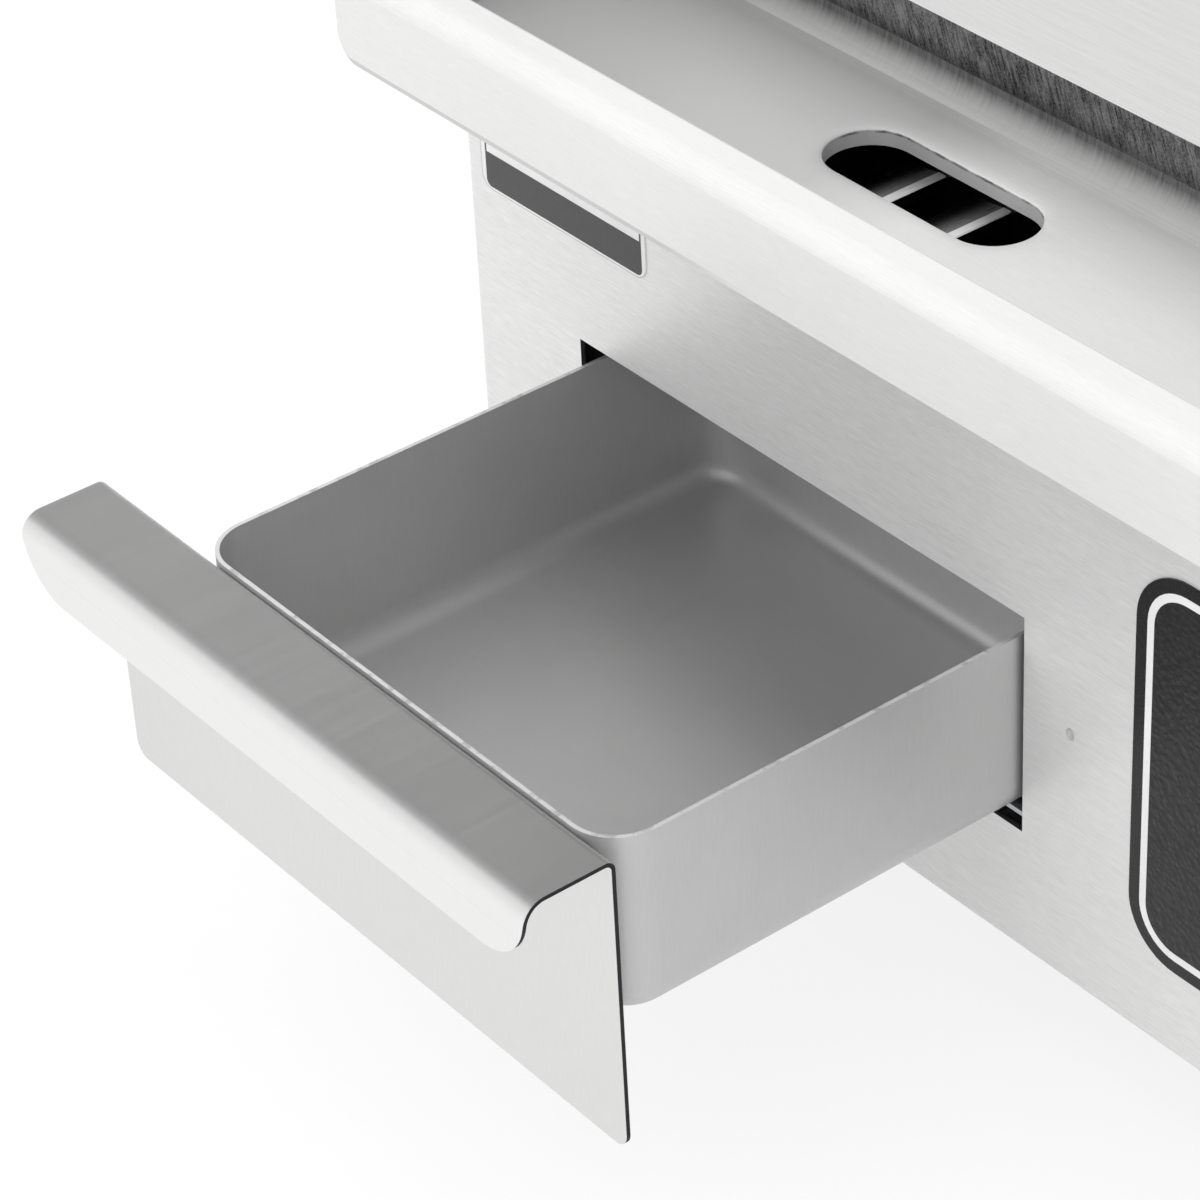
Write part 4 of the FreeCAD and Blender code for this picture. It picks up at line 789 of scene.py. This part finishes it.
def press_line():
    """The nose's tool line: a low ridge from end to end."""
    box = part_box("drawer_front")
    y = box[0][1]
    z = box[1][2] - 9.0 * MM
    section = ((-0.05 * MM, -0.22 * MM), (0.05 * MM, 0.0), (-0.05 * MM, 0.22 * MM))
    bm = bmesh.new()
    start = Vector((box[0][0] + 2.5 * MM, y, z))
    end = Vector((box[1][0] - 2.5 * MM, y, z))
    rings = []
    for point in (start, end):
        rings.append([bm.verts.new(point + Vector((0.0, -u, v))) for u, v in section])
    join_loops(bm, rings[0], rings[1])
    bm.faces.new(rings[0])
    bm.faces.new(rings[1])
    piece("handle_press_line", bm, DRAWER_SHEET, "drawer")


# Tray: the pressed sheet with a shallow drain rim

# Sheet, bend and depth as in the CAD node; then the dish and the wall's foot as in the photo
SHEET_T = 1.2 * MM
RIM_BEND = 5.0 * MM
RIM_DEPTH = 9.0 * MM
DISH = 0.75 * MM
WALL_FOOT = 4.3 * MM


def from_drain(point):
    """How far a point is outside the drain's straight wall, seen from above."""
    reach = DRAIN[1][1] / 2.0
    run = DRAIN[1][0] / 2.0 - reach
    return math.hypot(max(abs(point.x - DRAIN[0][0]) - run, 0.0), point.y - DRAIN[0][1]) - reach


def pressed_depth(outside, depth):
    """The rim's bend pressed flat to a shallow dish, with a short wall below it."""
    if depth > RIM_BEND - 1e-6:
        top = DISH if outside < SHEET_T / 2.0 else DISH + SHEET_T * 0.8
        return top + (WALL_FOOT - top) * (depth - RIM_BEND) / (RIM_DEPTH - RIM_BEND)
    if math.hypot(RIM_BEND - outside, RIM_BEND - depth) > RIM_BEND - SHEET_T / 2.0:
        return depth * DISH / RIM_BEND
    return SHEET_T + (depth - SHEET_T) * (DISH - SHEET_T * 0.2) / (RIM_BEND - SHEET_T)


def add_front_straight(bm):
    """The CAD node's rim has no front straight: mirror the back one and drop the faces it covers."""
    near = 2.0e-5
    run = (DRAIN[1][0] - DRAIN[1][1]) / 2.0
    hole_front = DRAIN[0][1] - DRAIN[1][1] / 2.0 - RIM_BEND
    straight, covered = [], []

    def at_end(p):
        return abs(abs(p.x - DRAIN[0][0]) - run) < near

    for face in bm.faces:
        points = [vert.co for vert in face.verts]
        if any(abs(p.x - DRAIN[0][0]) > run + near for p in points):
            continue
        if any(p.z > TROUGH_FLOOR + near or from_drain(p) > RIM_BEND + near for p in points):
            continue
        if all(p.y > DRAIN[0][1] for p in points):
            if not all(at_end(p) and abs(p.x - points[0].x) < near for p in points):
                straight.append(face)
        elif all(abs(p.y - hole_front) < near for p in points):
            covered.append(face)
        elif all(p.y < DRAIN[0][1] and abs(p.x - points[0].x) < near for p in points):
            covered.append(face)
    copies = bmesh.ops.duplicate(bm, geom=straight)["geom"]
    for vert in copies:
        if isinstance(vert, bmesh.types.BMVert):
            vert.co.y = 2.0 * DRAIN[0][1] - vert.co.y
    bmesh.ops.delete(bm, geom=covered, context="FACES")
    bmesh.ops.remove_doubles(bm, verts=bm.verts, dist=near)


def formed_tray():
    """The tray's sheet, its drain rim made whole and pressed shallow."""
    bm = bmesh.new()
    bm.from_mesh(nodes["top_tray"].data)
    bmesh.ops.remove_doubles(bm, verts=bm.verts, dist=1e-6)
    add_front_straight(bm)
    for vert in bm.verts:
        outside = from_drain(vert.co)
        depth = TROUGH_FLOOR - vert.co.z
        if outside < RIM_BEND + 1e-5 and 1e-6 < depth < RIM_DEPTH + 1e-5:
            vert.co.z = TROUGH_FLOOR - pressed_depth(outside, depth)
    tray = piece("tray_formed", bm, TRAY_SHEET, "body", smooth=True)
    tray.data.set_sharp_from_angle(angle=math.radians(32.0))
    shading = tray.modifiers.new("flat_faces_first", "WEIGHTED_NORMAL")
    shading.keep_sharp = True
    shading.weight = 100
    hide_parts("top_tray")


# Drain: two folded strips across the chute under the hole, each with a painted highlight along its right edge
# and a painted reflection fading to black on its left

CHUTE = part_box("drain_chute")
STRIP_TOP_Z = 176.0 * MM
STRIP_FLANK = 8.5 * MM
STRIP_EDGE = 2.7 * MM
STRIP_DROP = 3.0 * MM
STRIP_XS = (-163.1 * MM, -142.2 * MM)
STRIP_INSET = (2.0 * MM, 5.5 * MM)


def strip_material(name, x):
    """Black enamel with a painted reflection that lightens towards a painted highlight on the strip's edge.
    """
    g = Graph(name)
    across = g.coordinate(0)
    cloud = g.noise((300.0, 60.0, 300.0), 2.0)
    ramp = g.add("MapRange", {"Value": across, "From Min": x - STRIP_FLANK, "From Max": x},
                 interpolation_type="SMOOTHSTEP").outputs[0]
    # Painted reflection: a grey ramp rising from black towards the edge; the edge itself is a painted
    # highlight
    painted_reflection = g.tint(g.math("MULTIPLY", ramp, ramp), ENAMEL_BLACK, (0.22, 0.22, 0.22))
    pale = g.tint(cloud, (0.90, 0.90, 0.90), (0.97, 0.97, 0.97))
    shade = g.tint(g.math("GREATER_THAN", across, x), painted_reflection, pale)
    side = g.math("MULTIPLY", g.math("GREATER_THAN", g.facing(0), 0.8), g.math("GREATER_THAN", across, x))
    return g.surface(Base_Color=g.tint(side, shade, ENAMEL_BLACK), Roughness=g.spread(cloud, 0.22, 0.34))


def chute_strips():
    section = ((-STRIP_FLANK, -1.2 * MM), (0.0, -0.15 * MM), (0.25 * MM, 0.0),
               (STRIP_EDGE - 0.25 * MM, 0.0), (STRIP_EDGE, -0.25 * MM), (STRIP_EDGE, -STRIP_DROP),
               (STRIP_EDGE - 0.8 * MM, -STRIP_DROP), (STRIP_EDGE - 0.8 * MM, -1.2 * MM),
               (-STRIP_FLANK, -2.0 * MM))
    for number, x in enumerate(STRIP_XS):
        bm = bmesh.new()
        front = (x, CHUTE[0][1] + STRIP_INSET[0], STRIP_TOP_Z)
        back = (x, CHUTE[1][1] - STRIP_INSET[1], STRIP_TOP_Z)
        bar_along(bm, section, front, back)
        name = "chute_strip_%d" % (number + 1)
        piece(name, bm, strip_material(name, x), "body")


# Feet: turned rubber with a groove and a slight taper

def rubber_foot(name):
    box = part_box(name)
    radius = (box[1][0] - box[0][0]) / 2.0
    top = box[1][2]
    centre = ((box[0][0] + box[1][0]) / 2.0, (box[0][1] + box[1][1]) / 2.0, 0.0)
    profile = [(2.7 * MM, 14.0 * MM), (7.0 * MM, 14.0 * MM), (7.0 * MM, 0.4 * MM), (7.4 * MM, 0.0),
               (radius - 4.2 * MM, 0.0), (radius - 3.2 * MM, 0.4 * MM), (radius - 2.7 * MM, 1.4 * MM),
               (radius - 2.5 * MM, 3.6 * MM), (radius - 3.0 * MM, 4.2 * MM), (radius - 3.0 * MM, 5.0 * MM),
               (radius - 1.6 * MM, 5.6 * MM), (radius - 1.3 * MM, 6.6 * MM),
               (radius - 0.4 * MM, top - 2.6 * MM),
               (radius - 0.1 * MM, top - 1.6 * MM), (radius - 0.3 * MM, top - 1.2 * MM),
               (2.7 * MM, top - 1.2 * MM)]
    bm = bmesh.new()
    lathe(bm, profile + profile[:1], centre, (0, 0, 1), 56)
    bmesh.ops.remove_doubles(bm, verts=bm.verts, dist=1e-6)
    thing = piece(name + "_moulded", bm, RUBBER, "body", smooth=True)
    thing.data.set_sharp_from_angle(angle=math.radians(40.0))
    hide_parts(name)


control_film()
dial()
piece("knob_ribs", knob_ribs(), PLASTIC, "knob")
lens_dome("lens_power", GREEN_LENS)
lens_dome("lens_heat", AMBER_LENS)
label_print()
torn_edge()
weld_dimple()
press_line()
formed_tray()
chute_strips()
for foot in ("foot_front_left", "foot_back_left", "foot_front_right", "foot_back_right"):
    rubber_foot(foot)


# Stage: a pale floor, soft lamps, and grey cards that only reflections see

FLOOR_COLOUR = (0.86, 0.86, 0.86)
FLOOR_GLOW = 0.82
FLOOR_TINT = (0.19, 0.19, 0.19)
WORLD_LIGHT = 0.95


def add_plane(name, matrix, material):
    """A square from -1 to 1, placed and sized by a matrix."""
    mesh = bpy.data.meshes.new(name)
    mesh.from_pydata([(-1, -1, 0), (1, -1, 0), (1, 1, 0), (-1, 1, 0)], [], [(0, 1, 2, 3)])
    mesh.materials.append(material)
    thing = bpy.data.objects.new(name, mesh)
    thing.matrix_world = matrix
    bpy.context.scene.collection.objects.link(thing)
    return thing


def floor_material():
    """Pale floor that lights the object as it is; looked at or mirrored, it is white with a faint shadow."""
    g = Graph("floor")
    plain = g.add("BsdfDiffuse", {"Color": FLOOR_COLOUR})
    faint = g.add("BsdfDiffuse", {"Color": FLOOR_TINT})
    glow = g.add("Emission", {"Color": (1.0, 1.0, 1.0), "Strength": FLOOR_GLOW})
    shown = g.add("AddShader", {0: faint.outputs[0], 1: glow.outputs[0]})
    path = g.add("LightPath")
    seen = g.math("ADD", path.outputs["Is Camera Ray"], path.outputs["Is Glossy Ray"])
    seen = g.math("ADD", seen, path.outputs["Is Transmission Ray"], clamp=True)
    either = g.add("MixShader", {0: seen, 1: plain.outputs[0], 2: shown.outputs[0]})
    g.tree.links.new(either.outputs[0], g.out.inputs["Surface"])
    return g.material


def card_material(name, level, soft):
    """An even grey card whose edges fade out, so that its reflection has no hard border."""
    g = Graph(name)
    glow = g.add("Emission", {"Color": (1.0, 1.0, 1.0), "Strength": level})
    clear = g.add("BsdfTransparent")
    solid = None
    for axis in (0, 1):
        away = g.math("ABSOLUTE", g.coordinate(axis))
        fade = g.add("MapRange", {"Value": away, "From Min": 1.0, "From Max": 1.0 - soft},
                     interpolation_type="SMOOTHSTEP").outputs[0]
        solid = fade if solid is None else g.math("MULTIPLY", solid, fade)
    both = g.add("MixShader", {0: solid, 1: clear.outputs[0], 2: glow.outputs[0]})
    g.tree.links.new(both.outputs[0], g.out.inputs["Surface"])
    return g.material


def grey_card(name, centre, facing, size, level, soft):
    turn = Vector(facing).to_track_quat("Z", "Y").to_matrix().to_4x4()
    matrix = Matrix.Translation(centre) @ turn @ Matrix.Diagonal((size[0], size[1], 1.0, 1.0))
    card = add_plane(name, matrix, card_material(name, level, soft))
    card.visible_camera = False
    card.visible_diffuse = False
    card.visible_shadow = False
    card.visible_transmission = False
    return card


add_plane("floor", Matrix.Diagonal((6.0, 6.0, 1.0, 1.0)), floor_material())
grey_card("card_right", (1.6, 0.6, 0.9), (-1, 0, 0), (2.6, 1.3), 0.15, 0.35)
grey_card("card_ceiling", (0.9, 0.2, 1.6), (0, 0, -1), (1.7, 2.2), 0.22, 0.35)

world = bpy.data.worlds.new("studio")
bpy.context.scene.world = world
world.use_nodes = True
tree = world.node_tree
background = tree.nodes["Background"]
path = tree.nodes.new("ShaderNodeLightPath")
total = path.outputs["Is Camera Ray"]
for output in ("Is Glossy Ray", "Is Transmission Ray"):
    add = tree.nodes.new("ShaderNodeMath")
    add.operation = "ADD"
    add.use_clamp = True
    tree.links.new(total, add.inputs[0])
    tree.links.new(path.outputs[output], add.inputs[1])
    total = add.outputs[0]
level = tree.nodes.new("ShaderNodeMapRange")
level.inputs["To Min"].default_value = WORLD_LIGHT
level.inputs["To Max"].default_value = 1.0
tree.links.new(total, level.inputs["Value"])
tree.links.new(level.outputs[0], background.inputs["Strength"])
background.inputs["Color"].default_value = (1.0, 1.0, 1.0, 1.0)


def softbox(name, place, target, size, power):
    lamp = bpy.data.lights.new(name, "AREA")
    lamp.shape = "RECTANGLE"
    lamp.size, lamp.size_y = size
    lamp.energy = power
    thing = bpy.data.objects.new(name, lamp)
    thing.location = place
    thing.rotation_euler = (Vector(target) - Vector(place)).to_track_quat("-Z", "Y").to_euler()
    bpy.context.scene.collection.objects.link(thing)
    return thing


CENTRE = (0.0, 0.0, 0.12)
softbox("softbox_top", (0.1, -0.3, 2.0), CENTRE, (1.6, 1.6), 9.0).visible_glossy = False
softbox("softbox_front", (-0.5, -1.8, 1.2), CENTRE, (1.2, 1.2), 8.0).visible_glossy = False
camera_data = bpy.data.cameras.new("camera")
camera_data.lens = CAMERA_LENS
camera_data.sensor_width = 36.0
camera_data.sensor_fit = "HORIZONTAL"
camera_data.clip_start = 0.01
camera = bpy.data.objects.new("camera", camera_data)
camera.location = CAMERA_AT
turn = Matrix.Rotation(math.radians(CAMERA_TURN), 4, "Z")
tilt = Matrix.Rotation(math.radians(90.0 - CAMERA_DOWN), 4, "X")
roll = Matrix.Rotation(math.radians(CAMERA_ROLL), 4, "Z")
camera.rotation_euler = (turn @ tilt @ roll).to_euler()
bpy.context.scene.collection.objects.link(camera)
bpy.context.scene.camera = camera

bpy.context.scene.view_settings.view_transform = "Standard"
